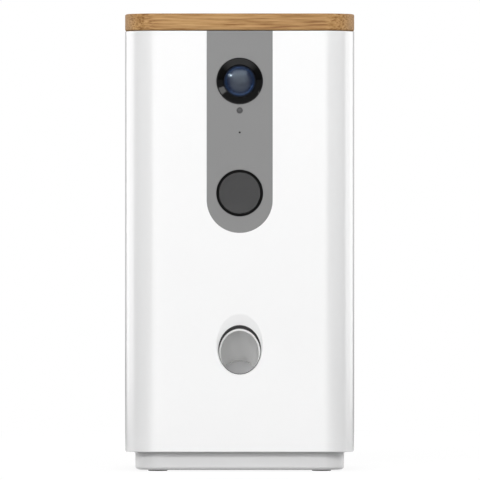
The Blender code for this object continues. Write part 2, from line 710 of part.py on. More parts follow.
def make_body_shell():
    half_x, half_y = BODY_WIDTH / 2, BODY_DEPTH / 2
    levels = rounded_edge(BODY_LOW_EDGE, BODY_BOTTOM, True)
    levels += rounded_edge(BODY_TOP_EDGE, BODY_TOP, False)
    shell = add_part(
        "body_shell", rounded_stack("body_shell", half_x, half_y, BODY_CORNER, levels), "white_shell")
    cavity = rounded_stack(
        "body_cavity", INNER_HALF_WIDTH, INNER_HALF_DEPTH, INNER_CORNER,
        [(0, BODY_BOTTOM - OVERRUN), (0, BODY_TOP + OVERRUN)])
    cut(shell, "body_cavity", cavity)

    # Collar that the launch tube's nose slides into, and the outlet through it
    join(shell, "outlet_collar", oblique_rod(
        "outlet_collar", OUTLET_RADIUS + COLLAR_WALL, FRONT + BODY_WALL / 2, FRONT + COLLAR_DEPTH))
    cut(shell, "outlet_bore", oblique_rod(
        "outlet_bore", OUTLET_RADIUS, FRONT - OVERRUN, FRONT + COLLAR_DEPTH + OVERRUN))
    cut(shell, "outlet_flare", loft("outlet_flare", flare_sections()), front_frame(0, FRONT, OUTLET_HEIGHT))

    # Opening for the fascia
    cut(shell, "fascia_opening", fascia_outline_mesh(
        "fascia_opening", GAP, -BODY_WALL - OVERRUN, OVERRUN, BODY_TOP + OVERRUN),
        front_frame(0, FRONT, 0))

    # Screw bosses with webs to the corners
    for index, (x, y) in enumerate(corners(FOOT_X, FOOT_Y)):
        side_x, side_y = x / FOOT_X, y / FOOT_Y
        join(shell, f"boss_{index}", rod(
            f"boss_{index}", BOSS_RADIUS, BOSS_LOW, BOSS_LOW + BOSS_HEIGHT, SMALL_SIDES),
            upright_frame(x, y))
        web = block(f"web_{index}", (0, -BOSS_WEB / 2, BOSS_LOW + BOSS_WEB_STEP),
                    (BOSS_WEB_REACH, BOSS_WEB / 2, BOSS_LOW + BOSS_HEIGHT - BOSS_WEB_STEP))
        join(shell, f"web_{index}", web,
             upright_frame(x, y) @ Matrix.Rotation(atan2(side_y, side_x), 4, "Z"))
        cut(shell, f"boss_hole_{index}", rod(
            f"boss_hole_{index}", SCREW_HOLE_RADIUS, BOSS_LOW - OVERRUN, SCREW_TIP + GAP, TINY_SIDES),
            upright_frame(x, y))

    # Ledges that carry the treat bin
    bin_seat = BIN_TOP - BIN_WALL - GAP
    for side in (-1, 1):
        for end in (-1, 1):
            inner, outer = side * (INNER_HALF_WIDTH - LEDGE_DEPTH), side * (INNER_HALF_WIDTH + BODY_WALL / 2)
            name = f"ledge_{side}_{end}"
            middle = end * LEDGE_PLACE
            join(shell, name, block(
                name, (min(inner, outer), middle - LEDGE_WIDTH / 2, bin_seat - LEDGE_HEIGHT),
                (max(inner, outer), middle + LEDGE_WIDTH / 2, bin_seat)))

    # Rear wall: speaker grille and seat, power socket recess, reset button hole
    ring = plate(
        "speaker_seat",
        [circle_outline(SPEAKER_RADIUS + GAP + SPEAKER_RING_WALL), circle_outline(SPEAKER_RADIUS + GAP)],
        -SPEAKER_RING_DEPTH, BODY_WALL / 2)
    join(shell, "speaker_seat", ring, rear_frame(0, INNER_BACK, SPEAKER_HEIGHT))
    rows = ceil(GRILLE_RADIUS / GRILLE_PITCH)
    hole = rod("grille_hole", GRILLE_HOLE_RADIUS, -OVERRUN, BODY_WALL + OVERRUN, TINY_SIDES)
    holes = bmesh.new()
    for row in range(-rows, rows + 1):
        for column in range(-rows, rows + 1):
            x = (column + (row % 2) / 2) * GRILLE_PITCH
            y = row * GRILLE_PITCH * sin(radians(60))
            if x * x + y * y <= GRILLE_RADIUS * GRILLE_RADIUS:
                copy = hole.copy()
                copy.transform(Matrix.Translation((x, y, 0)))
                holes.from_mesh(copy)
                bpy.data.meshes.remove(copy)
    cut(shell, "grille_holes", to_mesh("grille_holes", holes), rear_frame(0, INNER_BACK, SPEAKER_HEIGHT))
    recess = plate("socket_recess", [rounded_outline(
        RECESS_WIDTH / 2, RECESS_HEIGHT / 2, RECESS_HEIGHT / 2, steps=EDGE_STEPS)],
        -SOCKET_SETBACK, OVERRUN)
    cut(shell, "socket_recess", recess, rear_frame(0, BACK, SOCKET_PLACE_HEIGHT))
    opening = plate("socket_opening", [rounded_outline(
        SOCKET_WIDTH / 2 + GAP, SOCKET_THICKNESS / 2 + GAP, SOCKET_THICKNESS / 2 + GAP, steps=EDGE_STEPS)],
        -BODY_WALL - OVERRUN, OVERRUN)
    cut(shell, "socket_opening", opening, rear_frame(0, BACK, SOCKET_PLACE_HEIGHT))
    cut(shell, "button_hole", rod(
        "button_hole", BUTTON_RADIUS + GAP, -BODY_WALL - OVERRUN, OVERRUN, SMALL_SIDES),
        rear_frame(BUTTON_PLACE, BACK, SOCKET_PLACE_HEIGHT))


# Fascia

def fascia_outline_mesh(name, spread, low, high, top):
    # A straight top and a half-round lower end
    radius = FASCIA_WIDTH / 2 + spread
    outline = [(radius, top), (-radius, top)]
    outline += arc(0, FASCIA_ROUND_HEIGHT, radius, pi, 2 * pi, 2 * CORNER_STEPS)
    return plate(name, [outline], low, high)


def make_front_fascia():
    place = front_frame(0, FRONT, 0)
    fascia = add_part("front_fascia", fascia_outline_mesh(
        "front_fascia", 0, -BODY_WALL, 0, BODY_TOP), "grey_fascia", place)
    bin_seat = BIN_TOP - BIN_WALL - GAP
    flange_front = -BODY_WALL - GAP
    flange_back = flange_front - FASCIA_FLANGE_THICKNESS
    join(fascia, "fascia_neck", fascia_outline_mesh(
        "fascia_neck", 0, (flange_front + flange_back) / 2, -BODY_WALL / 2, bin_seat), place)
    join(fascia, "fascia_flange", fascia_outline_mesh(
        "fascia_flange", FASCIA_FLANGE, flange_back, flange_front, bin_seat), place)
    deep = -BODY_WALL - FASCIA_FLANGE_THICKNESS - OVERRUN
    holes = (
        ("hood_hole", HOOD_RADIUS + GAP, LENS_HEIGHT, LARGE_SIDES),
        ("window_hole", IR_RADIUS + GAP, IR_HEIGHT, LARGE_SIDES),
        ("sensor_hole", SENSOR_RADIUS + GAP, SENSOR_HEIGHT, SMALL_SIDES),
        ("mic_hole", MIC_HOLE_RADIUS, MIC_HEIGHT, TINY_SIDES),
    )
    for name, radius, height, sides in holes:
        cut(fascia, name, rod(name, radius, deep, OVERRUN, sides), front_frame(0, FRONT, height))


# Lid

def make_lid():
    levels = rounded_edge(LID_EDGE, LID_BOTTOM, True) + rounded_edge(LID_EDGE, LID_TOP, False)
    add_part("lid_board", rounded_stack(
        "lid_board", BODY_WIDTH / 2, BODY_DEPTH / 2, BODY_CORNER, levels), "bamboo")

    half_x = INNER_HALF_WIDTH - PLUG_CLEARANCE
    half_y = INNER_HALF_DEPTH - PLUG_CLEARANCE
    radius = INNER_CORNER - PLUG_CLEARANCE
    groove = SEAL_DEPTH + GAP
    plug_top = LID_BOTTOM - GAP
    groove_top, groove_low = SEAL_LOW + SEAL_HEIGHT + GAP, SEAL_LOW - GAP
    plug = add_part("lid_plug", rounded_stack("lid_plug", half_x, half_y, radius, [
        (0, PLUG_LOW), (0, groove_low), (groove, groove_low),
        (groove, groove_top), (0, groove_top), (0, plug_top)]), "natural_plastic")
    cut(plug, "plug_hollow", rounded_stack("plug_hollow", half_x, half_y, radius, [
        (PLUG_WALL, PLUG_LOW - OVERRUN), (PLUG_WALL, plug_top - PLUG_TOP)]))

    seal_out = PLUG_CLEARANCE - GAP
    outline = rounded_outline(half_x + seal_out, half_y + seal_out, radius + seal_out)
    inner = rounded_outline(half_x - SEAL_DEPTH, half_y - SEAL_DEPTH, radius - SEAL_DEPTH)
    add_part("lid_seal", plate("lid_seal", [outline, inner], SEAL_LOW, SEAL_LOW + SEAL_HEIGHT), "silicone")


# Plinth, feet and base screws

def make_base():
    half_x, half_y, radius = BASE_HALF_WIDTH, BASE_HALF_DEPTH, BASE_CORNER
    levels = rounded_edge(BASE_LOW_EDGE, FOOT_PROUD, True)
    for step in range(EDGE_STEPS + 2):
        angle = QUARTER * step / (EDGE_STEPS + 1)
        levels.append((-BASE_COVE * (1 - cos(angle)), BODY_BOTTOM - BASE_COVE * (1 - sin(angle))))
    base = add_part(
        "base_plinth", rounded_stack("base_plinth", half_x, half_y, radius, levels), "light_grey_base")
    floor_top = FOOT_PROUD + BASE_FLOOR
    cut(base, "base_hollow", rounded_stack(
        "base_hollow", half_x, half_y, radius, [(BASE_WALL, floor_top), (BASE_WALL, BODY_BOTTOM + OVERRUN)]))
    head_top = FOOT_PROUD + SCREW_HEAD_DEPTH + GAP
    for index, (x, y) in enumerate(corners(FOOT_X, FOOT_Y)):
        place = upright_frame(x, y)
        join(base, f"post_{index}", rod(
            f"post_{index}", POST_RADIUS, FOOT_PROUD + BASE_FLOOR / 2, BODY_BOTTOM, SMALL_SIDES), place)
        cut(base, f"foot_seat_{index}", rod(
            f"foot_seat_{index}", FOOT_RADIUS + GAP, -OVERRUN, FOOT_THICKNESS + GAP, FOOT_SIDES), place)
        cut(base, f"head_hole_{index}", rod(
            f"head_hole_{index}", SCREW_HEAD_RADIUS + GAP, -OVERRUN, head_top, SMALL_SIDES), place)
        cut(base, f"shank_hole_{index}", rod(
            f"shank_hole_{index}", SCREW_HOLE_RADIUS, 0, BODY_BOTTOM + OVERRUN, TINY_SIDES), place)
        turned_part(f"foot_pad_{index + 1}", [
            (0, FOOT_THICKNESS), (FOOT_RADIUS, FOOT_THICKNESS), (FOOT_RADIUS, FOOT_EDGE),
            (FOOT_RADIUS - FOOT_EDGE, 0), (0, 0)], "rubber", place, FOOT_SIDES)
        head_high = SCREW_HEAD_LOW + SCREW_HEAD_HEIGHT
        turned_part(f"base_screw_{index + 1}", [
            (0, SCREW_TIP), (SCREW_RADIUS, SCREW_TIP), (SCREW_RADIUS, head_high),
            (SCREW_HEAD_RADIUS, head_high), (SCREW_HEAD_RADIUS, SCREW_HEAD_LOW), (0, SCREW_HEAD_LOW)],
            "steel", place, SMALL_SIDES)


# Deck

def make_deck():
    outline = rounded_outline(INNER_HALF_WIDTH - GAP, INNER_HALF_DEPTH - GAP, INNER_CORNER - GAP)
    reach = DRIVE_RADIUS + DRIVE_MODULE + RUN_GAP
    sink = AXLE_CENTRE.z - DECK_TOP
    half_slot = sqrt(reach * reach - sink * sink) + RUN_GAP if reach > sink else RUN_GAP
    deck = add_part("chassis_deck", plate("chassis_deck", [outline], DECK_LOW, DECK_TOP), "grey_plastic")
    cut(deck, "gear_slot", block(
        "gear_slot", (DRIVE_LOW_X - RUN_GAP, AXLE_CENTRE.y - half_slot, DECK_LOW - OVERRUN),
        (DRIVE_HIGH_X + RUN_GAP, AXLE_CENTRE.y + half_slot, DECK_TOP + OVERRUN)))
    for index, (x, y) in enumerate(corners(FOOT_X, FOOT_Y)):
        name = f"deck_hole_{index}"
        cut(deck, name, rod(name, SCREW_HOLE_RADIUS, DECK_LOW - OVERRUN, DECK_TOP + OVERRUN, TINY_SIDES),
            upright_frame(x, y))
    board_x = -(INNER_HALF_WIDTH - MAIN_BOARD_INSET)
    board_y = INNER_BACK - POWER_BOARD_INSET - BOARD_THICKNESS / 2
    rails = (
        ("main_rail_front", board_x, MAIN_BOARD_FRONT, "x"),
        ("main_rail_back", board_x, MAIN_BOARD_BACK, "x"),
        ("power_rail_left", POWER_BOARD_LEFT, board_y, "y"),
        ("power_rail_right", POWER_BOARD_RIGHT, board_y, "y"),
    )
    half = RAIL_WIDTH / 2
    slot_half = BOARD_THICKNESS / 2 + GAP
    slot_low = DECK_TOP + BOARD_LIFT - GAP
    for name, x, y, facing in rails:
        join(deck, name, block(name, (x - half, y - half, DECK_TOP - DECK_THICKNESS / 2),
                               (x + half, y + half, DECK_TOP + RAIL_HEIGHT)))
        across = (slot_half, half + OVERRUN) if facing == "x" else (half + OVERRUN, slot_half)
        inward = -1 if x > 0 or y == MAIN_BOARD_BACK else 1
        low = [x - across[0], y - across[1], slot_low]
        high = [x + across[0], y + across[1], DECK_TOP + RAIL_HEIGHT + OVERRUN]
        axis = 1 if facing == "x" else 0
        limit = (x, y)[axis] - inward * GAP
        if inward > 0:
            low[axis] = limit
        else:
            high[axis] = limit
        cut(deck, name + "_slot", block(name + "_slot", low, high))


# Camera, sensors and the night-vision window

def make_camera():
    place = front_frame(0, FRONT, LENS_HEIGHT)
    cone_low = HOOD_PROUD - HOOD_CONE_DEPTH
    glass_edge_top = cone_low - HOOD_STEP
    glass_low = glass_edge_top - GLASS_EDGE
    seat_low = glass_low - GAP
    shoulder = FRONT - CARRIER_FRONT + GAP
    hood_low = shoulder - HOOD_NECK_LENGTH
    seat_radius = GLASS_RADIUS + GAP
    turned_part("lens_hood", [
        (HOOD_RADIUS - HOOD_LIP / 2, HOOD_PROUD), (HOOD_RADIUS, HOOD_PROUD - HOOD_LIP / 2),
        (HOOD_RADIUS, shoulder), (HOOD_NECK_RADIUS, shoulder), (HOOD_NECK_RADIUS, hood_low),
        (seat_radius - GLASS_SEAT, hood_low), (seat_radius - GLASS_SEAT, seat_low), (seat_radius, seat_low),
        (seat_radius, glass_edge_top), (HOOD_INNER_RADIUS, cone_low), (HOOD_RADIUS - HOOD_LIP, HOOD_PROUD),
    ], "black_gloss", place, LARGE_SIDES, closed=True)

    dome_radius = (GLASS_RADIUS ** 2 + GLASS_DOME ** 2) / (2 * GLASS_DOME)
    half_angle = acos((dome_radius - GLASS_DOME) / dome_radius)
    steps = 2 * EDGE_STEPS
    dome = [
        (dome_radius * sin(half_angle * step / steps),
         glass_edge_top + GLASS_DOME - dome_radius * (1 - cos(half_angle * step / steps)))
        for step in range(steps + 1)
    ]
    turned_part("lens_glass", dome + [(GLASS_RADIUS, glass_low), (0, glass_low)], "lens_glass", place)

    barrel_top = glass_low - BARREL_SETBACK
    board_front = FRONT - CAMERA_BOARD_FRONT
    holder_low = board_front + GAP
    holder_top = holder_low + HOLDER_DEPTH
    barrel = turned_part("lens_barrel", [
        (0, barrel_top - BARREL_CUP_DEPTH + BARREL_IRIS_DOME),
        (BARREL_IRIS_RADIUS * DOME_SHOULDER_SHARE, barrel_top - BARREL_CUP_DEPTH + BARREL_IRIS_DOME / 2),
        (BARREL_IRIS_RADIUS, barrel_top - BARREL_CUP_DEPTH), (BARREL_CUP_RADIUS, barrel_top),
        (BARREL_RADIUS, barrel_top), (BARREL_RADIUS, holder_low + HOLDER_DEPTH / 2),
        (0, holder_low + HOLDER_DEPTH / 2),
    ], "black_matte", place)
    half = HOLDER_WIDTH / 2
    join(barrel, "lens_holder", block(
        "lens_holder", (-half, -half, holder_low), (half, half, holder_top)), place)
    half = CAMERA_BOARD_WIDTH / 2
    add_part("camera_board", block(
        "camera_board", (-half, -half, board_front - BOARD_THICKNESS), (half, half, board_front)),
        "circuit_board", place)


def make_carrier():
    middle = (CARRIER_BOTTOM + CARRIER_TOP) / 2
    outline = rounded_outline(
        CARRIER_WIDTH / 2, (CARRIER_TOP - CARRIER_BOTTOM) / 2, CARRIER_CORNER, 0, middle, EDGE_STEPS)
    bezel_sill = IR_RADIUS - IR_RING_WIDTH - IR_SILL
    holes = [
        circle_outline(HOOD_NECK_RADIUS + GAP, 0, LENS_HEIGHT),
        circle_outline(bezel_sill, 0, IR_HEIGHT),
        circle_outline(SENSOR_FLANGE_RADIUS + GAP, 0, SENSOR_HEIGHT, SMALL_SIDES),
        circle_outline(MIC_RADIUS + GAP, 0, MIC_HEIGHT, SMALL_SIDES),
    ]
    place = front_frame(0, 0, 0)
    carrier = add_part("camera_carrier", plate(
        "camera_carrier", [outline] + holes, -CARRIER_BACK, -CARRIER_FRONT), "black_matte", place)
    root = -CARRIER_BACK + CARRIER_THICKNESS / 2
    posts = []
    for x, z in corners(CAMERA_POST_SPACING / 2, CAMERA_POST_SPACING / 2):
        posts.append((x, LENS_HEIGHT + z, CAMERA_BOARD_FRONT - GAP))
    for side in (-1, 1):
        reach = IR_BOARD_WIDTH / 2 - CARRIER_POST_RADIUS
        posts.append((side * reach, IR_HEIGHT, IR_BOARD_FRONT - GAP))
    for index, (x, z, back) in enumerate(posts):
        name = f"carrier_post_{index}"
        join(carrier, name, rod(name, CARRIER_POST_RADIUS, -back, root, TINY_SIDES), front_frame(x, 0, z))


def make_sensors():
    back = -SENSOR_BOARD_FRONT + GAP
    face = -FRONT
    flange_top = -CARRIER_FRONT
    turned_part("light_sensor_lens", [
        (0, face + SENSOR_DOME), (SENSOR_RADIUS * DOME_SHOULDER_SHARE, face + SENSOR_DOME / 2),
        (SENSOR_RADIUS, face), (SENSOR_RADIUS, flange_top),
        (SENSOR_FLANGE_RADIUS, flange_top), (SENSOR_FLANGE_RADIUS, back),
        (0, back),
    ], "clear_plastic", front_frame(0, 0, SENSOR_HEIGHT), SMALL_SIDES)
    add_part("microphone", rod("microphone", MIC_RADIUS, back, flange_top, SMALL_SIDES),
             "black_matte", front_frame(0, 0, MIC_HEIGHT))
    half = SENSOR_BOARD_WIDTH / 2
    add_part("sensor_board", block(
        "sensor_board", (-half, SENSOR_BOARD_FRONT, SENSOR_BOARD_BOTTOM),
        (half, SENSOR_BOARD_FRONT + BOARD_THICKNESS, SENSOR_BOARD_TOP)), "circuit_board")


def make_ir_window():
    place = front_frame(0, FRONT, IR_HEIGHT)
    ring_inner = IR_RADIUS - IR_RING_WIDTH
    sill_inner = ring_inner - IR_SILL
    window_top = -IR_WINDOW_SETBACK
    window_low = window_top - IR_WINDOW_THICKNESS
    ring_low = FRONT - CARRIER_FRONT + GAP
    turned_part("ir_bezel", [
        (IR_RADIUS - IR_EDGE, 0), (IR_RADIUS, -IR_EDGE), (IR_RADIUS, ring_low), (sill_inner, ring_low),
        (sill_inner, window_low - GAP), (ring_inner, window_low - GAP), (ring_inner, -IR_EDGE),
        (ring_inner + IR_EDGE, 0),
    ], "black_gloss", place, LARGE_SIDES, closed=True)
    window_radius = ring_inner - GAP
    turned_part("ir_window", [
        (0, window_top), (window_radius - IR_EDGE, window_top), (window_radius, window_top - IR_EDGE),
        (window_radius, window_low), (0, window_low)], "smoked_window", place)
    half_x, half_z = IR_BOARD_WIDTH / 2, IR_BOARD_HEIGHT / 2
    board_front = FRONT - IR_BOARD_FRONT
    board = add_part("ir_led_board", block(
        "ir_led_board", (-half_x, -half_z, board_front - BOARD_THICKNESS), (half_x, half_z, board_front)),
        "circuit_board", place)
    for side in (-1, 1):
        name = f"ir_emitter_{side}"
        emitter = rod(
            name, IR_EMITTER_RADIUS, board_front - BOARD_THICKNESS / 2, board_front + IR_EMITTER_HEIGHT,
            SMALL_SIDES, IR_EMITTER_RADIUS * IR_EMITTER_TIP_SHARE)
        join(board, name, emitter, place @ Matrix.Translation((side * IR_EMITTER_SPACING / 2, 0, 0)))


# Treat bin, dosing wheel and chute

def make_treat_bin():
    half_y = BIN_HALF_DEPTH
    mouth = rounded_outline(BIN_HALF_WIDTH, half_y, BIN_CORNER, 0, BIN_CENTRE_Y)
    chamber = matching_circle(CHAMBER_RADIUS, 0, WHEEL_CENTRE_Y)
    outer_mouth = rounded_outline(
        BIN_HALF_WIDTH + BIN_WALL, half_y + BIN_WALL, BIN_CORNER + BIN_WALL, 0, BIN_CENTRE_Y)
    outer_chamber = matching_circle(CHAMBER_RADIUS + BIN_WALL, 0, WHEEL_CENTRE_Y)
    treat_bin = add_part("treat_bin", loft("treat_bin", [
        (outer_mouth, BIN_TOP), (outer_mouth, BIN_FUNNEL_TOP),
        (outer_chamber, BIN_FUNNEL_BOTTOM), (outer_chamber, CHAMBER_UNDERSIDE)]), "natural_plastic")
    cut(treat_bin, "bin_hollow", loft("bin_hollow", [
        (mouth, BIN_TOP + OVERRUN), (mouth, BIN_FUNNEL_TOP),
        (chamber, BIN_FUNNEL_BOTTOM), (chamber, BIN_FLOOR)]))
    rim_outline = rounded_outline(
        INNER_HALF_WIDTH - RUN_GAP, INNER_HALF_DEPTH - RUN_GAP, INNER_CORNER - RUN_GAP)
    bridge = rounded_outline(
        BIN_HALF_WIDTH + BIN_WALL / 2, half_y + BIN_WALL / 2, BIN_CORNER + BIN_WALL / 2, 0, BIN_CENTRE_Y)
    join(treat_bin, "bin_rim", plate("bin_rim", [rim_outline, bridge], BIN_TOP - BIN_WALL, BIN_TOP))

    # Motor socket under the floor, then the drop hole and the shaft hole through it
    outer_x, outer_y = MOTOR_WIDTH / 2 + GAP + SOCKET_WALL, MOTOR_DEPTH / 2 + GAP + SOCKET_WALL
    place = upright_frame(0, WHEEL_CENTRE_Y)
    join(treat_bin, "motor_socket", block(
        "motor_socket", (-outer_x, -outer_y, CHAMBER_UNDERSIDE - SOCKET_HEIGHT),
        (outer_x, outer_y, CHAMBER_UNDERSIDE + BIN_WALL / 2)), place)
    half_x, half_y = MOTOR_WIDTH / 2 + GAP, MOTOR_DEPTH / 2 + GAP
    cut(treat_bin, "motor_pocket", block(
        "motor_pocket", (-half_x, -half_y, CHAMBER_UNDERSIDE - SOCKET_HEIGHT - OVERRUN),
        (half_x, half_y, CHAMBER_UNDERSIDE)), place)
    low, high = CHAMBER_UNDERSIDE - OVERRUN, BIN_FLOOR + OVERRUN
    cut(treat_bin, "shaft_hole", rod(
        "shaft_hole", MOTOR_SHAFT_RADIUS + RUN_GAP, low, high, SMALL_SIDES), place)
    cut(treat_bin, "drop_hole", rod("drop_hole", PORT_RADIUS, low, high), upright_frame(0, DROP_Y))


def make_drop_baffle():
    # Covers the pocket that stands over the drop hole
    outer = CHAMBER_RADIUS - GAP
    first, last = -QUARTER - BAFFLE_HALF_ANGLE, -QUARTER + BAFFLE_HALF_ANGLE
    outline = arc(0, 0, outer, first, last, 2 * CORNER_STEPS)
    outline += arc(0, 0, BAFFLE_INNER_RADIUS, last, first, CORNER_STEPS)
    add_part("drop_baffle", plate("drop_baffle", [outline], BAFFLE_LOW, BAFFLE_LOW + BAFFLE_THICKNESS),
             "natural_plastic", upright_frame(0, WHEEL_CENTRE_Y))


def make_dosing_wheel():
    place = upright_frame(0, WHEEL_CENTRE_Y)
    pockets = []
    for index in range(WHEEL_POCKETS):
        angle = -QUARTER + 2 * pi * index / WHEEL_POCKETS
        pockets.append(circle_outline(
            POCKET_RADIUS, POCKET_CIRCLE * cos(angle), POCKET_CIRCLE * sin(angle), SMALL_SIDES))
    wheel = add_part("dosing_wheel", plate(
        "dosing_wheel", [circle_outline(WHEEL_RADIUS, sides=LARGE_SIDES)] + pockets, WHEEL_LOW, WHEEL_TOP),
        "orange_plastic", place)
    join(wheel, "wheel_hub", rod(
        "wheel_hub", WHEEL_HUB_RADIUS, WHEEL_TOP - WHEEL_HUB_HEIGHT, HUB_TOP, SMALL_SIDES), place)
    shaft_top = CHAMBER_UNDERSIDE + DOSING_SHAFT_LENGTH
    cut(wheel, "wheel_bore", rod(
        "wheel_bore", MOTOR_SHAFT_RADIUS + GAP, WHEEL_LOW - OVERRUN, shaft_top + GAP, SMALL_SIDES), place)

    agitator_low = HUB_TOP + GAP
    agitator = turned_part("agitator", [
        (0, agitator_low + AGITATOR_HEIGHT), (AGITATOR_CORE_RADIUS / 2, agitator_low + AGITATOR_HEIGHT),
        (AGITATOR_CORE_RADIUS, agitator_low + AGITATOR_ARM_HEIGHT), (AGITATOR_CORE_RADIUS, agitator_low),
        (0, agitator_low)], "silicone", place, SMALL_SIDES)
    for index in range(AGITATOR_ARMS):
        wide, narrow = AGITATOR_ARM_WIDTH / 2, AGITATOR_TIP_WIDTH / 2
        outline = [(0, -wide), (AGITATOR_REACH - narrow, -narrow)]
        outline += arc(AGITATOR_REACH - narrow, 0, narrow, -QUARTER, QUARTER, EDGE_STEPS)[1:]
        outline += [(0, wide)]
        name = f"agitator_arm_{index}"
        arm = plate(name, [outline], agitator_low + GAP, agitator_low + AGITATOR_ARM_HEIGHT - GAP)
        join(agitator, name, arm, place @ Matrix.Rotation(2 * pi * index / AGITATOR_ARMS, 4, "Z"))

    make_gearmotor("dosing_motor", place @ Matrix.Translation((0, 0, CHAMBER_UNDERSIDE - GAP)))
    add_part("dosing_motor_shaft", rod(
        "dosing_motor_shaft", MOTOR_SHAFT_RADIUS, CHAMBER_UNDERSIDE, shaft_top, SMALL_SIDES), "steel", place)


def make_gearmotor(name, place):
    # Gearbox at the front, motor can behind it; own Z points out of the gearbox along the shaft
    half_x, half_y = MOTOR_WIDTH / 2, MOTOR_DEPTH / 2
    motor = add_part(name, block(
        name, (-half_x, -half_y, -GEARBOX_LENGTH), (half_x, half_y, 0)), "steel", place)
    can_end = -GEARBOX_LENGTH - MOTOR_CAN_LENGTH
    can = plate(name + "_can", [rounded_outline(
        half_x - MOTOR_SEAM, half_y - MOTOR_SEAM, half_y - MOTOR_SEAM * 2, steps=EDGE_STEPS)],
        can_end, -GEARBOX_LENGTH + MOTOR_SEAM)
    join(motor, name + "_can", can, place)
    join(motor, name + "_end", rod(
        name + "_end", MOTOR_TERMINAL, can_end - MOTOR_TERMINAL, can_end + MOTOR_SEAM, SMALL_SIDES), place)


def make_drop_chute():
    low = PORT_TOP + GAP
    high = CHAMBER_UNDERSIDE - GAP
    outer = PORT_RADIUS + PORT_WALL
    turned_part("drop_chute", [
        (outer + CHUTE_LIP, high), (outer + CHUTE_LIP, high - CHUTE_LIP_HEIGHT),
        (outer, high - CHUTE_LIP_HEIGHT), (outer, low), (PORT_RADIUS, low), (PORT_RADIUS, high),
    ], "clear_plastic", upright_frame(0, DROP_Y), MEDIUM_SIDES, closed=True)


# Launcher

def make_launch_tube():
    tube = add_part(
        "launch_tube", rod("launch_tube", TUBE_RADIUS, -TUBE_END, -TUBE_SHOULDER, LARGE_SIDES),
        "natural_plastic", launch_frame(0))
    nose_back = FRONT + (TUBE_SHOULDER + TUBE_RADIUS) * cos(LAUNCH_ANGLE)
    join(tube, "tube_nose", oblique_rod("tube_nose", NOSE_RADIUS, FRONT + NOSE_SETBACK, nose_back))
    port_low = OUTLET_HEIGHT - (DROP_Y - FRONT) * tan(LAUNCH_ANGLE)
    join(tube, "port_collar", rod(
        "port_collar", PORT_RADIUS + PORT_WALL, port_low, PORT_TOP), upright_frame(0, DROP_Y))
    cut(tube, "tube_bore", rod(
        "tube_bore", TUBE_BORE_RADIUS, -TUBE_END - OVERRUN, OVERRUN, LARGE_SIDES), launch_frame(0))
    cut(tube, "port_bore", rod(
        "port_bore", PORT_RADIUS, port_low, PORT_TOP + OVERRUN), upright_frame(0, DROP_Y))
    half = RACK_WIDTH / 2 + RACK_SLOT_GAP
    cut(tube, "rack_slot", block(
        "rack_slot", (-half, -TUBE_RADIUS - OVERRUN, -TUBE_END - OVERRUN), (half, 0, -RACK_FRONT + RUN_GAP)),
        launch_frame(0))


def rack_outline():
    # In the launch frame seen from the side: first the place along the tube, then the height
    root = -(RACK_LINE - DEDENDUM_SHARE * RACK_MODULE)
    tip = -(RACK_LINE + ADDENDUM_SHARE * RACK_MODULE)
    top = -(PLUNGER_RADIUS - PLUNGER_WALL / 2)
    half_gap = RACK_PITCH / 4 + RACK_BACKLASH / 2
    wide = half_gap + ADDENDUM_SHARE * RACK_MODULE * tan(PRESSURE_ANGLE)
    narrow = half_gap - DEDENDUM_SHARE * RACK_MODULE * tan(PRESSURE_ANGLE)
    points = [(RACK_FRONT, top), (RACK_FRONT, tip)]
    for index in range(RACK_GAPS - 1, -1, -1):
        middle = AXLE_PLACE - index * RACK_PITCH
        points += [(middle - wide, tip), (middle - narrow, root)]
        points += [(middle + narrow, root), (middle + wide, tip)]
    return points + [(PLUNGER_END, tip), (PLUNGER_END, top)]


def make_plunger():
    inner = PLUNGER_RADIUS - PLUNGER_WALL
    head_back = -PLUNGER_FACE - PLUNGER_HEAD
    plunger = turned_part("plunger", [
        (0, -PLUNGER_FACE), (PLUNGER_RADIUS - PLUNGER_EDGE, -PLUNGER_FACE),
        (PLUNGER_RADIUS, -PLUNGER_FACE - PLUNGER_EDGE), (PLUNGER_RADIUS, -PLUNGER_END),
        (inner, -PLUNGER_END), (inner, head_back), (0, head_back)], "grey_plastic", launch_frame(0))
    half = RACK_WIDTH / 2
    rack = plate("rack", [rack_outline()], -half, half)
    side_view = frame(-OUTWARD, UPWARD, (-1, 0, 0), MOUTH)
    join(plunger, "rack", rack, side_view)


def make_launch_spring():
    first = PLUNGER_FACE + PLUNGER_HEAD + GAP + SPRING_WIRE_RADIUS
    last = TUBE_END + GAP - CAP_SPIGOT - GAP - SPRING_WIRE_RADIUS
    count = SPRING_TURNS * SPRING_POINTS
    points = []
    for index in range(count + 1):
        angle = 2 * pi * index / SPRING_POINTS
        along = first + (last - first) * index / count
        points.append(Vector((SPRING_COIL_RADIUS * cos(angle), SPRING_COIL_RADIUS * sin(angle), -along)))
    curve = bpy.data.curves.new("launch_spring", "CURVE")
    curve.dimensions = "3D"
    curve.bevel_depth = SPRING_WIRE_RADIUS
    curve.bevel_resolution = 1
    curve.use_fill_caps = True
    curve.materials.append(FINISHES["spring_steel"])
    spline = curve.splines.new("POLY")
    spline.points.add(count)
    for point, place in zip(spline.points, points):
        point.co = (*place, 1)
    spring = bpy.data.objects.new("launch_spring", curve)
    spring.matrix_world = launch_frame(0)
    PARTS.objects.link(spring)
    apart = SPRING_POINTS // 2
    least = min(
        (first_point - second_point).length
        for index, first_point in enumerate(points) for second_point in points[index + apart:]
    )
    print(f"launch_spring: least gap to itself {(least - 2 * SPRING_WIRE_RADIUS) * 1000:.2f} mm")


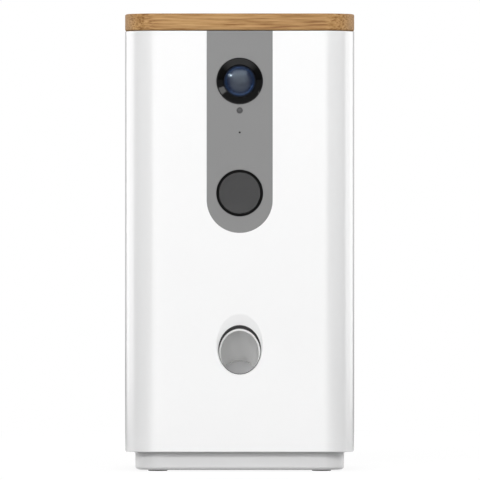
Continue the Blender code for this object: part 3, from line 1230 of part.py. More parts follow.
def make_tube_cap():
    seat = TUBE_END + GAP
    cap = turned_part("tube_cap", [
        (0, -seat + CAP_SPIGOT + CAP_PIN_LENGTH), (CAP_PIN_RADIUS, -seat + CAP_SPIGOT + CAP_PIN_LENGTH),
        (CAP_PIN_RADIUS, -seat + CAP_SPIGOT), (TUBE_BORE_RADIUS - GAP, -seat + CAP_SPIGOT),
        (TUBE_BORE_RADIUS - GAP, -seat), (TUBE_RADIUS, -seat), (TUBE_RADIUS, -seat - CAP_THICKNESS),
        (0, -seat - CAP_THICKNESS)], "grey_plastic", launch_frame(0))
    low_rim = MOUTH - OUTWARD * (seat + CAP_THICKNESS / 2) - UPWARD * (TUBE_RADIUS - CAP_THICKNESS)
    half = CAP_FOOT_WIDTH / 2
    join(cap, "cap_foot", block(
        "cap_foot", (-half, low_rim.y, DECK_TOP + GAP), (half, low_rim.y + CAP_FOOT_DEPTH, low_rim.z)))


def flank_point(radius, base_radius, half_base):
    roll = acos(base_radius / radius)
    return radius, half_base - (tan(roll) - roll)


def flank(module, teeth, backlash):
    # Radius and half angle of a tooth from its root to its tip, along an involute
    pitch_radius = module * teeth / 2
    base_radius = pitch_radius * cos(PRESSURE_ANGLE)
    root = pitch_radius - DEDENDUM_SHARE * module
    tip = pitch_radius + ADDENDUM_SHARE * module
    half_pitch = pi / (2 * teeth) - backlash / (2 * pitch_radius) + tan(PRESSURE_ANGLE) - PRESSURE_ANGLE
    start = max(root, base_radius)
    points = [(root, half_pitch)] if root < base_radius else [flank_point(root, base_radius, half_pitch)]
    for step in range(1, FLANK_STEPS):
        points.append(flank_point(start + (tip - start) * step / (FLANK_STEPS - 1), base_radius, half_pitch))
    return points


def gear_outline(module, teeth, backlash, first_angle, kept=None):
    # Teeth follow each other counter-clockwise from the first angle; past the kept ones the rim is bare
    shape = flank(module, teeth, backlash)
    outline = []
    for index in range(teeth if kept is None else kept):
        middle = first_angle + 2 * pi * index / teeth
        for radius, half_angle in shape:
            outline.append((radius * cos(middle - half_angle), radius * sin(middle - half_angle)))
        for radius, half_angle in reversed(shape):
            outline.append((radius * cos(middle + half_angle), radius * sin(middle + half_angle)))
    if kept is not None:
        root, half_angle = shape[0]
        bare_start = first_angle + 2 * pi * (kept - 1) / teeth + half_angle
        bare_end = first_angle + 2 * pi - half_angle
        outline += arc(0, 0, root, bare_start, bare_end, SMALL_SIDES)[1:-1]
    return outline


def make_gears():
    place = side_frame(0, AXLE_CENTRE.y, AXLE_CENTRE.z)
    bore = circle_outline(AXLE_RADIUS + GAP, sides=SMALL_SIDES)
    hub = circle_outline(GEAR_HUB_RADIUS, sides=SMALL_SIDES)
    rack_direction = atan2(UPWARD.z, UPWARD.y)
    half = SECTOR_WIDTH / 2
    sector = add_part("sector_pinion", plate("sector_pinion", [gear_outline(
        RACK_MODULE, SECTOR_TEETH, GEAR_BACKLASH, rack_direction, SECTOR_KEPT), bore], -half, half),
        "natural_plastic", place)
    hub_half = CHEEK_INNER - GEAR_SIDE_GAP
    join(sector, "sector_hub", plate("sector_hub", [hub, bore], -hub_half, hub_half), place)

    # A gap of the drive gear faces the motor pinion, which lies straight in front of it
    tooth_angle = 2 * pi / DRIVE_TEETH
    gear = add_part("drive_gear", plate("drive_gear", [gear_outline(
        DRIVE_MODULE, DRIVE_TEETH, GEAR_BACKLASH, pi + tooth_angle / 2), bore], DRIVE_LOW_X, DRIVE_HIGH_X),
        "natural_plastic", place)
    rim_inner = DRIVE_RADIUS - DEDENDUM_SHARE * DRIVE_MODULE - DRIVE_RIM
    hollow = [circle_outline(rim_inner), hub]
    cut(gear, "gear_hollow", plate(
        "gear_hollow", hollow, DRIVE_LOW_X + DRIVE_WEB, DRIVE_HIGH_X + OVERRUN), place)
    join(gear, "gear_hub", plate(
        "gear_hub", [hub, bore], CHEEK_OUTER + GEAR_SIDE_GAP, DRIVE_LOW_X + DRIVE_WEB), place)

    head_low = -CHEEK_OUTER - GAP - AXLE_HEAD
    clip_low = DRIVE_HIGH_X + GAP
    turned_part("gear_axle", [
        (0, clip_low + 2 * AXLE_CLIP), (AXLE_RADIUS, clip_low + 2 * AXLE_CLIP),
        (AXLE_RADIUS, clip_low + AXLE_CLIP),
        (AXLE_CLIP_RADIUS, clip_low + AXLE_CLIP), (AXLE_CLIP_RADIUS, clip_low), (AXLE_RADIUS, clip_low),
        (AXLE_RADIUS, head_low + AXLE_HEAD), (AXLE_HEAD_RADIUS, head_low + AXLE_HEAD),
        (AXLE_HEAD_RADIUS, head_low), (0, head_low)], "steel", place, SMALL_SIDES)

    place = side_frame(0, PINION_CENTRE.y, PINION_CENTRE.z)
    shaft_hole = circle_outline(MOTOR_SHAFT_RADIUS + GAP, sides=SMALL_SIDES)
    pinion_outline = gear_outline(DRIVE_MODULE, PINION_TEETH, GEAR_BACKLASH, 0)
    add_part("launch_pinion", plate(
        "launch_pinion", [pinion_outline, shaft_hole], DRIVE_LOW_X, DRIVE_HIGH_X), "brass", place)
    motor_face = CHEEK_INNER - GAP
    add_part("launch_motor_shaft", rod(
        "launch_motor_shaft", MOTOR_SHAFT_RADIUS, motor_face + GAP, DRIVE_HIGH_X + AXLE_CLIP, SMALL_SIDES),
        "steel", place)
    upright = Matrix.Rotation(QUARTER, 4, "Z")
    make_gearmotor("launch_motor", place @ Matrix.Translation((0, 0, motor_face)) @ upright)


def cheek_outline():
    # Side view: straight foot on the deck, upper edge along the underside of the tube
    contact = sqrt(TUBE_RADIUS ** 2 - CHEEK_INNER ** 2) + GAP
    foot = DECK_TOP + GAP

    def edge_height(y):
        along = (y - FRONT + contact * sin(LAUNCH_ANGLE)) / cos(LAUNCH_ANGLE)
        return OUTLET_HEIGHT - along * sin(LAUNCH_ANGLE) - contact * cos(LAUNCH_ANGLE)

    outline = [
        (CHEEK_FRONT, foot), (CHEEK_BACK, foot), (CHEEK_BACK, edge_height(CHEEK_BACK)),
        (CHEEK_FRONT, edge_height(CHEEK_FRONT)),
    ]
    return outline


def make_cheeks():
    axle_hole = circle_outline(AXLE_RADIUS + GAP, AXLE_CENTRE.y, AXLE_CENTRE.z, SMALL_SIDES)
    shaft_hole = circle_outline(MOTOR_SHAFT_RADIUS + RUN_GAP, PINION_CENTRE.y, PINION_CENTRE.z, SMALL_SIDES)
    half_y, half_z = MOTOR_DEPTH / 2 + GAP, MOTOR_WIDTH / 2 + GAP
    middle_y, middle_z = PINION_CENTRE.y, PINION_CENTRE.z
    motor_hole = [
        (middle_y - half_y, middle_z - half_z), (middle_y + half_y, middle_z - half_z),
        (middle_y + half_y, middle_z + half_z), (middle_y - half_y, middle_z + half_z),
    ]
    place = side_frame(0, 0, 0)
    add_part("right_cheek", plate(
        "right_cheek", [cheek_outline(), axle_hole, shaft_hole], CHEEK_INNER, CHEEK_OUTER),
        "grey_plastic", place)
    add_part("left_cheek", plate(
        "left_cheek", [cheek_outline(), axle_hole, motor_hole], -CHEEK_OUTER, -CHEEK_INNER),
        "grey_plastic", place)


# Boards, speaker, socket and button

def make_main_board():
    middle = -(INNER_HALF_WIDTH - MAIN_BOARD_INSET)
    low = DECK_TOP + BOARD_LIFT
    inner_face = middle + BOARD_THICKNESS / 2
    board = add_part("main_board", block(
        "main_board", (middle - BOARD_THICKNESS / 2, MAIN_BOARD_FRONT, low),
        (inner_face, MAIN_BOARD_BACK, low + MAIN_BOARD_HEIGHT)), "circuit_board")
    length = MAIN_BOARD_BACK - MAIN_BOARD_FRONT
    root = inner_face - BOARD_THICKNESS / 2
    chip_shares = (("processor", 0.35, 0.6, 1.0), ("radio", 0.75, 0.8, 0.8), ("driver", 0.7, 0.45, 0.6))
    strip_shares = (0.15, 0.5, 0.85)
    capacitor_shares = ((0.2, 0.3), (0.4, 0.3))
    for name, along_share, up_share, size_share in chip_shares:
        y = MAIN_BOARD_FRONT + length * along_share
        z = low + MAIN_BOARD_HEIGHT * up_share
        half = CHIP_WIDTH * size_share / 2
        join(board, name, block(
            name, (root, y - half, z - half), (inner_face + CHIP_HEIGHT, y + half, z + half)))
    for index, along_share in enumerate(strip_shares):
        y = MAIN_BOARD_FRONT + length * along_share
        top = low + MAIN_BOARD_HEIGHT - BOARD_LIFT
        half = PLUG_STRIP_LENGTH / 2
        name = f"plug_strip_{index}"
        join(board, name, block(
            name, (root, y - half, top - PLUG_STRIP_HEIGHT), (inner_face + PLUG_STRIP_WIDTH, y + half, top)))
    for index, (along_share, up_share) in enumerate(capacitor_shares):
        y = MAIN_BOARD_FRONT + length * along_share
        name = f"capacitor_{index}"
        join(board, name, rod(name, CAN_RADIUS, root, inner_face + CAN_HEIGHT, SMALL_SIDES),
             side_frame(0, y, low + MAIN_BOARD_HEIGHT * up_share))


def make_speaker():
    rim_inner = SPEAKER_RADIUS - SPEAKER_RIM_WIDTH
    turned_part("speaker", [
        (0, -SPEAKER_CONE_DEPTH / 2), (SPEAKER_DOME_RADIUS / 2, -SPEAKER_CONE_DEPTH * SPEAKER_DOME_SHARE),
        (SPEAKER_DOME_RADIUS, -SPEAKER_CONE_DEPTH), (rim_inner, -SPEAKER_RIM), (rim_inner, 0),
        (SPEAKER_RADIUS, 0), (SPEAKER_RADIUS, -SPEAKER_RIM),
        (SPEAKER_MAGNET_RADIUS, -SPEAKER_DEPTH + SPEAKER_MAGNET), (SPEAKER_MAGNET_RADIUS, -SPEAKER_DEPTH),
        (0, -SPEAKER_DEPTH)], "black_matte", rear_frame(0, INNER_BACK - GAP, SPEAKER_HEIGHT))


def make_power_parts():
    board_face = INNER_BACK - POWER_BOARD_INSET
    low = DECK_TOP + BOARD_LIFT
    add_part("power_board", block(
        "power_board", (POWER_BOARD_LEFT, board_face - BOARD_THICKNESS, low),
        (POWER_BOARD_RIGHT, board_face, low + POWER_BOARD_HEIGHT)), "circuit_board")

    place = rear_frame(0, BACK - SOCKET_SETBACK, SOCKET_PLACE_HEIGHT)
    length = BACK - SOCKET_SETBACK - board_face - GAP
    socket = add_part("power_socket", plate("power_socket", [rounded_outline(
        SOCKET_WIDTH / 2, SOCKET_THICKNESS / 2, SOCKET_THICKNESS / 2, steps=EDGE_STEPS)], -length, 0),
        "steel", place)
    inner_half_x, inner_half_z = SOCKET_WIDTH / 2 - SOCKET_SKIN, SOCKET_THICKNESS / 2 - SOCKET_SKIN
    cut(socket, "socket_cavity", plate("socket_cavity", [rounded_outline(
        inner_half_x, inner_half_z, inner_half_z, steps=EDGE_STEPS)], -SOCKET_CAVITY, OVERRUN), place)
    tongue_half = inner_half_x - inner_half_z
    join(socket, "socket_tongue", block(
        "socket_tongue", (-tongue_half, -SOCKET_TONGUE / 2, -SOCKET_CAVITY - SOCKET_SKIN),
        (tongue_half, SOCKET_TONGUE / 2, -SOCKET_CAVITY + SOCKET_TONGUE_LENGTH)), place)

    half = SWITCH_WIDTH / 2
    switch_back = board_face + GAP + SWITCH_DEPTH
    add_part("reset_switch", block(
        "reset_switch", (BUTTON_PLACE - half, board_face + GAP, SOCKET_PLACE_HEIGHT - half),
        (BUTTON_PLACE + half, switch_back, SOCKET_PLACE_HEIGHT + half)), "black_matte")
    stem_low = -(INNER_BACK - GAP) + switch_back + BUTTON_TRAVEL + GAP
    face = BODY_WALL + GAP + BUTTON_PROUD
    turned_part("reset_button", [
        (0, face), (BUTTON_RADIUS - BUTTON_EDGE, face), (BUTTON_RADIUS, face - BUTTON_EDGE),
        (BUTTON_RADIUS, 0), (BUTTON_FLANGE_RADIUS, 0), (BUTTON_FLANGE_RADIUS, -BUTTON_FLANGE),
        (BUTTON_STEM_RADIUS, -BUTTON_FLANGE), (BUTTON_STEM_RADIUS, stem_low), (0, stem_low)], "grey_fascia",
        rear_frame(BUTTON_PLACE, INNER_BACK - GAP, SOCKET_PLACE_HEIGHT), SMALL_SIDES)


make_body_shell()
make_front_fascia()
make_lid()
make_base()
make_deck()
make_camera()
make_carrier()
make_sensors()
make_ir_window()
make_treat_bin()
make_drop_baffle()
make_dosing_wheel()
make_drop_chute()
make_launch_tube()
make_plunger()
make_launch_spring()
make_tube_cap()
make_gears()
make_cheeks()
make_main_board()
make_speaker()
make_power_parts()
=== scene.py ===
import json
from math import asin, cos, pi, radians, sin, sqrt, tan

import bmesh
import bpy
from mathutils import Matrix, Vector


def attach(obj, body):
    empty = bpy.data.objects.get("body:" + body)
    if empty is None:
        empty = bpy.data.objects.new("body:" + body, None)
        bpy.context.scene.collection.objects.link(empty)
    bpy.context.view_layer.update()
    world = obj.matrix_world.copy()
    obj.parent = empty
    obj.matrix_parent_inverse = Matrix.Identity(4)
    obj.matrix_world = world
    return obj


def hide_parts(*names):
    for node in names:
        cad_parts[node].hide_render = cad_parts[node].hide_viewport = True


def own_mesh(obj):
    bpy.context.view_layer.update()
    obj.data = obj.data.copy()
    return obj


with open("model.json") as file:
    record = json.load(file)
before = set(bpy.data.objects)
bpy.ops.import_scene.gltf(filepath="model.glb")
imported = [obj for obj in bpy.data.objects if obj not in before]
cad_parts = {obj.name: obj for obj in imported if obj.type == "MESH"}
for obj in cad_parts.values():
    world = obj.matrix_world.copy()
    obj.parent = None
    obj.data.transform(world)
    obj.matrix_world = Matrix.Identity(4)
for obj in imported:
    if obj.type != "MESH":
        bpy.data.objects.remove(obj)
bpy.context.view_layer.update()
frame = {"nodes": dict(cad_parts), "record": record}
nodes = frame["nodes"]

tiny = 0.00001
samePoint = 0.000002  # points closer than this are merged
flatEnough = radians(0.5)  # faces of a CAD copy that bend less are joined
faceWeight = 80  # how far the larger faces lead the shading
cutLength = 0.02  # of a rod that cuts right through a wall
# An edge stays sharp where its faces meet at more than this many degrees
sharpFrom = dict(shell=28, turned=35, solid=40, small=50, bead=60)
quarter = pi / 2
toFront = (quarter, 0, 0)  # turns a piece's own up toward the front
toBack = (-quarter, 0, 0)


# Picking and editing

def clearPick():
    if bpy.context.object and bpy.context.object.mode != "OBJECT":
        bpy.ops.object.mode_set(mode="OBJECT")
    bpy.ops.object.select_all(action="DESELECT")


def pick(piece):
    clearPick()
    piece.select_set(True)
    bpy.context.view_layer.objects.active = piece


def settle(piece):
    pick(piece)
    bpy.ops.object.transform_apply(location=True, rotation=True, scale=True)
    return piece


def startEdit(piece, kind):
    pick(piece)
    bpy.ops.object.mode_set(mode="EDIT")
    bpy.ops.mesh.select_mode(type=kind)
    bpy.ops.mesh.select_all(action="DESELECT")


def stopEdit():
    bpy.ops.object.mode_set(mode="OBJECT")


def pickEdges(piece, test):
    bpy.ops.mesh.select_all(action="DESELECT")
    shape = bmesh.from_edit_mesh(piece.data)
    for edge in shape.edges:
        if test(edge.verts[0].co, edge.verts[1].co):
            edge.select_set(True)
    bmesh.update_edit_mesh(piece.data)


def pickFaces(piece, test):
    bpy.ops.mesh.select_all(action="DESELECT")
    shape = bmesh.from_edit_mesh(piece.data)
    shape.normal_update()
    for face in shape.faces:
        if test(face.calc_center_median(), face.normal):
            face.select_set(True)
    bmesh.update_edit_mesh(piece.data)


def bothAt(height):
    return lambda a, b: abs(a.z - height) < tiny and abs(b.z - height) < tiny


def roundPicked(radius, steps):
    bpy.ops.mesh.bevel(offset=radius, offset_type="OFFSET", segments=steps, profile=0.5, affect="EDGES")


def bisectAll(place, outward):
    bpy.ops.mesh.select_all(action="SELECT")
    bpy.ops.mesh.bisect(plane_co=place, plane_no=outward, use_fill=True, clear_outer=True, clear_inner=False)


# Ways to make a piece

def newBlock(name, low, high):
    clearPick()
    low, high = Vector(low), Vector(high)
    bpy.ops.mesh.primitive_cube_add(size=1, location=(low + high) / 2)
    piece = bpy.context.object
    piece.name = name
    piece.scale = high - low
    return settle(piece)


def newRoundedBlock(name, low, high, corner, steps=24, lowEdge=0, topEdge=0, edgeSteps=4):
    piece = newBlock(name, low, high)
    startEdit(piece, "EDGE")
    pickEdges(piece, lambda a, b: abs(a.z - b.z) > tiny)
    roundPicked(corner, steps)
    for height, edge in ((low[2], lowEdge), (high[2], topEdge)):
        if edge:
            pickEdges(piece, bothAt(height))
            roundPicked(edge, edgeSteps)
    stopEdit()
    return piece


def newRod(name, centre, radius, length, turn=(0, 0, 0), sides=64):
    clearPick()
    bpy.ops.mesh.primitive_cylinder_add(
        vertices=sides, radius=radius, depth=length, location=centre, rotation=turn)
    piece = bpy.context.object
    piece.name = name
    return settle(piece)


def newTurned(name, profile, seat, turn=toFront, steps=96, closed=False):
    # A point is drawn out along the profile and spun round the piece's own upright axis
    clearPick()
    bpy.ops.mesh.primitive_plane_add(size=0.001)
    piece = bpy.context.object
    piece.name = name
    bpy.ops.object.mode_set(mode="EDIT")
    bpy.ops.mesh.select_mode(type="VERT")
    bpy.ops.mesh.select_all(action="SELECT")
    bpy.ops.mesh.merge(type="CENTER")
    bpy.ops.transform.translate(value=(profile[0][0], 0, profile[0][1]))
    path = profile + profile[:1] if closed else profile
    for (radius, height), (nextRadius, nextHeight) in zip(path, path[1:]):
        bpy.ops.mesh.extrude_vertices_move(
            TRANSFORM_OT_translate={"value": (nextRadius - radius, 0, nextHeight - height)})
    bpy.ops.mesh.select_all(action="SELECT")
    bpy.ops.mesh.spin(steps=steps, angle=2 * pi, center=(0, 0, 0), axis=(0, 0, 1))
    bpy.ops.mesh.select_all(action="SELECT")
    bpy.ops.mesh.remove_doubles(threshold=samePoint)
    bpy.ops.mesh.select_all(action="SELECT")
    bpy.ops.mesh.normals_make_consistent(inside=False)
    stopEdit()
    piece.rotation_euler = turn
    piece.location = seat
    return settle(piece)


def carve(piece, tool, way="DIFFERENCE"):
    pick(piece)
    step = piece.modifiers.new("carve", "BOOLEAN")
    step.operation = way
    step.solver = "EXACT"
    step.object = tool
    bpy.ops.object.modifier_apply(modifier=step.name)
    bpy.data.objects.remove(tool, do_unlink=True)


def softenEdges(piece, width, angle=50, steps=2):
    pick(piece)
    step = piece.modifiers.new("edges", "BEVEL")
    step.width = width
    step.segments = steps
    step.limit_method = "ANGLE"
    step.angle_limit = radians(angle)
    step.use_clamp_overlap = True
    bpy.ops.object.modifier_apply(modifier=step.name)


def smooth(piece, kind):
    pick(piece)
    bpy.ops.object.shade_smooth_by_angle(angle=radians(sharpFrom[kind]))
    step = piece.modifiers.new("faces", "WEIGHTED_NORMAL")
    step.keep_sharp = True
    step.weight = faceWeight
    bpy.ops.object.modifier_apply(modifier=step.name)


def copyOfNode(node, name):
    # The CAD node's loose triangles are merged and its flat faces joined
    piece = nodes[node].copy()
    piece.data = nodes[node].data.copy()
    piece.parent = None
    for key in list(piece.keys()):
        del piece[key]
    piece.name = name
    bpy.context.scene.collection.objects.link(piece)
    startEdit(piece, "VERT")
    bpy.ops.mesh.select_all(action="SELECT")
    bpy.ops.mesh.remove_doubles(threshold=samePoint)
    bpy.ops.mesh.customdata_custom_splitnormals_clear()
    bpy.ops.mesh.dissolve_limited(angle_limit=flatEnough)
    stopEdit()
    return piece


def dress(piece, slot, body="housing", stands=(), material=None):
    piece.data.materials.clear()
    piece.data.materials.append(material or finishes[slot])
    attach(piece, body)
    if stands:
        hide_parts(*stands)


# Finishes

def newMaterial(name):
    material = bpy.data.materials.new(name)
    material.use_nodes = True
    return material, material.node_tree.nodes, material.node_tree.links


def objectPattern(tree, links, stretch=(1, 1, 1)):
    place = tree.new("ShaderNodeTexCoord")
    mapping = tree.new("ShaderNodeMapping")
    mapping.inputs["Scale"].default_value = stretch
    links.new(place.outputs["Object"], mapping.inputs["Vector"])
    return mapping.outputs["Vector"]


def noise(tree, links, vector, scale, detail=3, roughness=0.5):
    pattern = tree.new("ShaderNodeTexNoise")
    pattern.inputs["Scale"].default_value = scale
    pattern.inputs["Detail"].default_value = detail
    pattern.inputs["Roughness"].default_value = roughness
    links.new(vector, pattern.inputs["Vector"])
    return pattern.outputs["Fac"]


def ramp(tree, links, value, stops):
    step = tree.new("ShaderNodeValToRGB")
    links.new(value, step.inputs["Fac"])
    marks = step.color_ramp.elements
    while len(marks) < len(stops):
        marks.new(0.5)
    for mark, (place, colour) in zip(marks, stops):
        mark.position = place
        mark.color = (*colour, 1)
    return step.outputs["Color"]


def spread(tree, links, value, low, high, fromLow=0, fromHigh=1):
    step = tree.new("ShaderNodeMapRange")
    step.inputs["From Min"].default_value = fromLow
    step.inputs["From Max"].default_value = fromHigh
    step.inputs["To Min"].default_value = low
    step.inputs["To Max"].default_value = high
    links.new(value, step.inputs["Value"])
    return step.outputs["Result"]


def reckon(tree, links, kind, *values):
    # One sum on sockets or plain numbers
    step = tree.new("ShaderNodeMath")
    step.operation = kind
    for socket, value in zip(step.inputs, values):
        if isinstance(value, (int, float)):
            socket.default_value = value
        else:
            links.new(value, socket)
    return step.outputs[0]


def distance(tree, links, vector, stretch):
    # From the middle of the pattern, with each direction stretched first
    flat = tree.new("ShaderNodeVectorMath")
    flat.operation = "MULTIPLY"
    flat.inputs[1].default_value = stretch
    links.new(vector, flat.inputs[0])
    length = tree.new("ShaderNodeVectorMath")
    length.operation = "LENGTH"
    links.new(flat.outputs["Vector"], length.inputs[0])
    return length.outputs["Value"]


def darken(tree, links, colour, tone):
    step = tree.new("ShaderNodeMix")
    step.data_type = "RGBA"
    step.blend_type = "MULTIPLY"
    step.inputs["Factor"].default_value = 1
    links.new(colour, step.inputs["A"])
    links.new(tone, step.inputs["B"])
    return step.outputs["Result"]


def relief(tree, links, value, shader, height, strength=1):
    bump = tree.new("ShaderNodeBump")
    bump.inputs["Strength"].default_value = strength
    bump.inputs["Distance"].default_value = height
    links.new(value, bump.inputs["Height"])
    links.new(bump.outputs["Normal"], shader.inputs["Normal"])


plastic = dict(cloudScale=24, detail=2, cloudStops=(0.3, 0.7), roughnessSpread=0.15, coatRoughness=0.05)
metal = dict(detail=4, shade=0.85, lineStops=(0.35, 0.65), roughnessSpread=0.3, lineDepth=0.00001)


def mouldedPlastic(name, colour, roughness, variation=0.02, grain=900, depth=0.00001, coat=0, specular=0.5):
    material, tree, links = newMaterial(name)
    shader = tree["Principled BSDF"]
    vector = objectPattern(tree, links)
    cloud = noise(tree, links, vector, plastic["cloudScale"], plastic["detail"])
    fine = noise(tree, links, vector, grain, plastic["detail"])
    darker = [part * (1 - variation) for part in colour]
    lighter = [min(1, part * (1 + variation)) for part in colour]
    tones = ramp(tree, links, cloud, tuple(zip(plastic["cloudStops"], (darker, lighter))))
    links.new(tones, shader.inputs["Base Color"])
    low, high = (roughness * (1 + side * plastic["roughnessSpread"]) for side in (-1, 1))
    links.new(spread(tree, links, fine, low, high), shader.inputs["Roughness"])
    relief(tree, links, fine, shader, depth)
    shader.inputs["Coat Weight"].default_value = coat
    shader.inputs["Coat Roughness"].default_value = plastic["coatRoughness"]
    shader.inputs["Specular IOR Level"].default_value = specular
    return material


def drawnMetal(name, colour, roughness, stretch, grain=400):
    material, tree, links = newMaterial(name)
    shader = tree["Principled BSDF"]
    shader.inputs["Metallic"].default_value = 1
    lines = noise(tree, links, objectPattern(tree, links, stretch), grain, metal["detail"])
    darker = [part * metal["shade"] for part in colour]
    tones = ramp(tree, links, lines, tuple(zip(metal["lineStops"], (darker, colour))))
    links.new(tones, shader.inputs["Base Color"])
    low, high = (roughness * (1 + side * metal["roughnessSpread"]) for side in (-1, 1))
    links.new(spread(tree, links, lines, low, high), shader.inputs["Roughness"])
    relief(tree, links, lines, shader, metal["lineDepth"])
    return material


def bambooBoard(look):
    # Strips run across the lid; each has its own tone, a fine grain and a knuckle now and then
    material, tree, links = newMaterial("bambooBoard")
    shader = tree["Principled BSDF"]
    place = tree.new("ShaderNodeTexCoord")
    split = tree.new("ShaderNodeSeparateXYZ")
    links.new(place.outputs["Object"], split.inputs["Vector"])
    along, across, up = (split.outputs[axis] for axis in "XYZ")

    def math(kind, *values):
        return reckon(tree, links, kind, *values)

    counted = math("DIVIDE", math("ADD", across, look["stripStart"]), look["stripWidth"])
    strip, within = math("FLOOR", counted), math("FRACT", counted)
    own = tree.new("ShaderNodeTexWhiteNoise")
    own.noise_dimensions = "1D"
    links.new(strip, own.inputs["W"])

    shifted = tree.new("ShaderNodeCombineXYZ")
    shift = math("MULTIPLY", own.outputs["Value"], look["stripShift"])
    links.new(math("ADD", along, shift), shifted.inputs["X"])
    links.new(across, shifted.inputs["Y"])
    links.new(up, shifted.inputs["Z"])
    stretched = tree.new("ShaderNodeMapping")
    stretched.inputs["Scale"].default_value = look["grainStretch"]
    links.new(shifted.outputs["Vector"], stretched.inputs["Vector"])
    fibres = noise(tree, links, stretched.outputs["Vector"], *look["fibreNoise"])
    bands = noise(tree, links, stretched.outputs["Vector"], *look["bandNoise"])
    grain = darken(tree, links, ramp(tree, links, fibres, look["grainStops"]),
                   ramp(tree, links, bands, look["bandStops"]))
    grain = darken(tree, links, grain, ramp(tree, links, own.outputs["Value"], look["stripStops"]))

    # A dark hair line where two strips are glued, and a paler knuckle on each strip, both on top only
    seam = math("LESS_THAN", within, look["seamShare"])
    moved = math("ADD", along, own.outputs["Value"])
    knuckleAt = math("FRACT", math("MULTIPLY", moved, look["knucklesPerMetre"]))
    knuckle = math("MULTIPLY", math("GREATER_THAN", knuckleAt, look["knuckleEnd"] - look["knuckleShare"]),
                   math("LESS_THAN", knuckleAt, look["knuckleEnd"]))
    upward = tree.new("ShaderNodeNewGeometry")
    facing = tree.new("ShaderNodeSeparateXYZ")
    links.new(upward.outputs["Normal"], facing.inputs["Vector"])
    onTop = math("GREATER_THAN", math("ABSOLUTE", facing.outputs["Z"]), look["topFrom"])
    marked = math("MAXIMUM", math("MULTIPLY", seam, look["seamTone"]),
                  math("MULTIPLY", knuckle, look["knuckleTone"]))
    lines = tree.new("ShaderNodeMix")
    lines.data_type = "RGBA"
    links.new(math("MULTIPLY", marked, onTop), lines.inputs["Factor"])
    links.new(grain, lines.inputs["A"])
    lines.inputs["B"].default_value = (*look["seamColour"], 1)
    links.new(lines.outputs["Result"], shader.inputs["Base Color"])
    links.new(spread(tree, links, fibres, *look["roughness"]), shader.inputs["Roughness"])
    relief(tree, links, fibres, shader, look["fibreDepth"], look["reliefStrength"])
    shader.inputs["Specular IOR Level"].default_value = look["specular"]
    return material


def circuitBoard(look):
    # Pale traces between dark cells
    material, tree, links = newMaterial("solderMask")
    shader = tree["Principled BSDF"]
    vector = objectPattern(tree, links)
    cells = tree.new("ShaderNodeTexVoronoi")
    cells.feature = "DISTANCE_TO_EDGE"
    cells.inputs["Scale"].default_value = look["cellScale"]
    links.new(vector, cells.inputs["Vector"])
    links.new(ramp(tree, links, cells.outputs["Distance"], look["cellStops"]), shader.inputs["Base Color"])
    fine = noise(tree, links, vector, look["fineScale"])
    links.new(spread(tree, links, fine, *look["roughness"]), shader.inputs["Roughness"])
    relief(tree, links, cells.outputs["Distance"], shader, look["traceDepth"], look["reliefStrength"])
    return material


coating = dict(fineScale=500, roughnessSpread=0.2, tint=(0.7, 0.86, 1))


def coatedGlass(name, radius, look):
    # The colour changes from the middle of the lens to its rim. On the inner element it is the coating's tint
    # with a painted reflection: a pale grey middle
    material, tree, links = newMaterial(name)
    shader = tree["Principled BSDF"]
    place = tree.new("ShaderNodeTexCoord")
    centred = tree.new("ShaderNodeMapping")
    centred.inputs["Location"].default_value = (0, 0, -lens["height"])
    links.new(place.outputs["Object"], centred.inputs["Vector"])
    share = distance(tree, links, centred.outputs["Vector"], (1 / radius, 0, 1 / radius))
    links.new(ramp(tree, links, share, look["stops"]), shader.inputs["Base Color"])
    fine = noise(tree, links, centred.outputs["Vector"], coating["fineScale"])
    low, high = (look["roughness"] * (1 + side * coating["roughnessSpread"]) for side in (-1, 1))
    links.new(spread(tree, links, fine, low, high), shader.inputs["Roughness"])
    shader.inputs["Metallic"].default_value = look["metallic"]
    shader.inputs["Specular IOR Level"].default_value = look["specular"]
    shader.inputs["Specular Tint"].default_value = (*coating["tint"], 1)
    shader.inputs["Alpha"].default_value = look["alpha"]
    return material


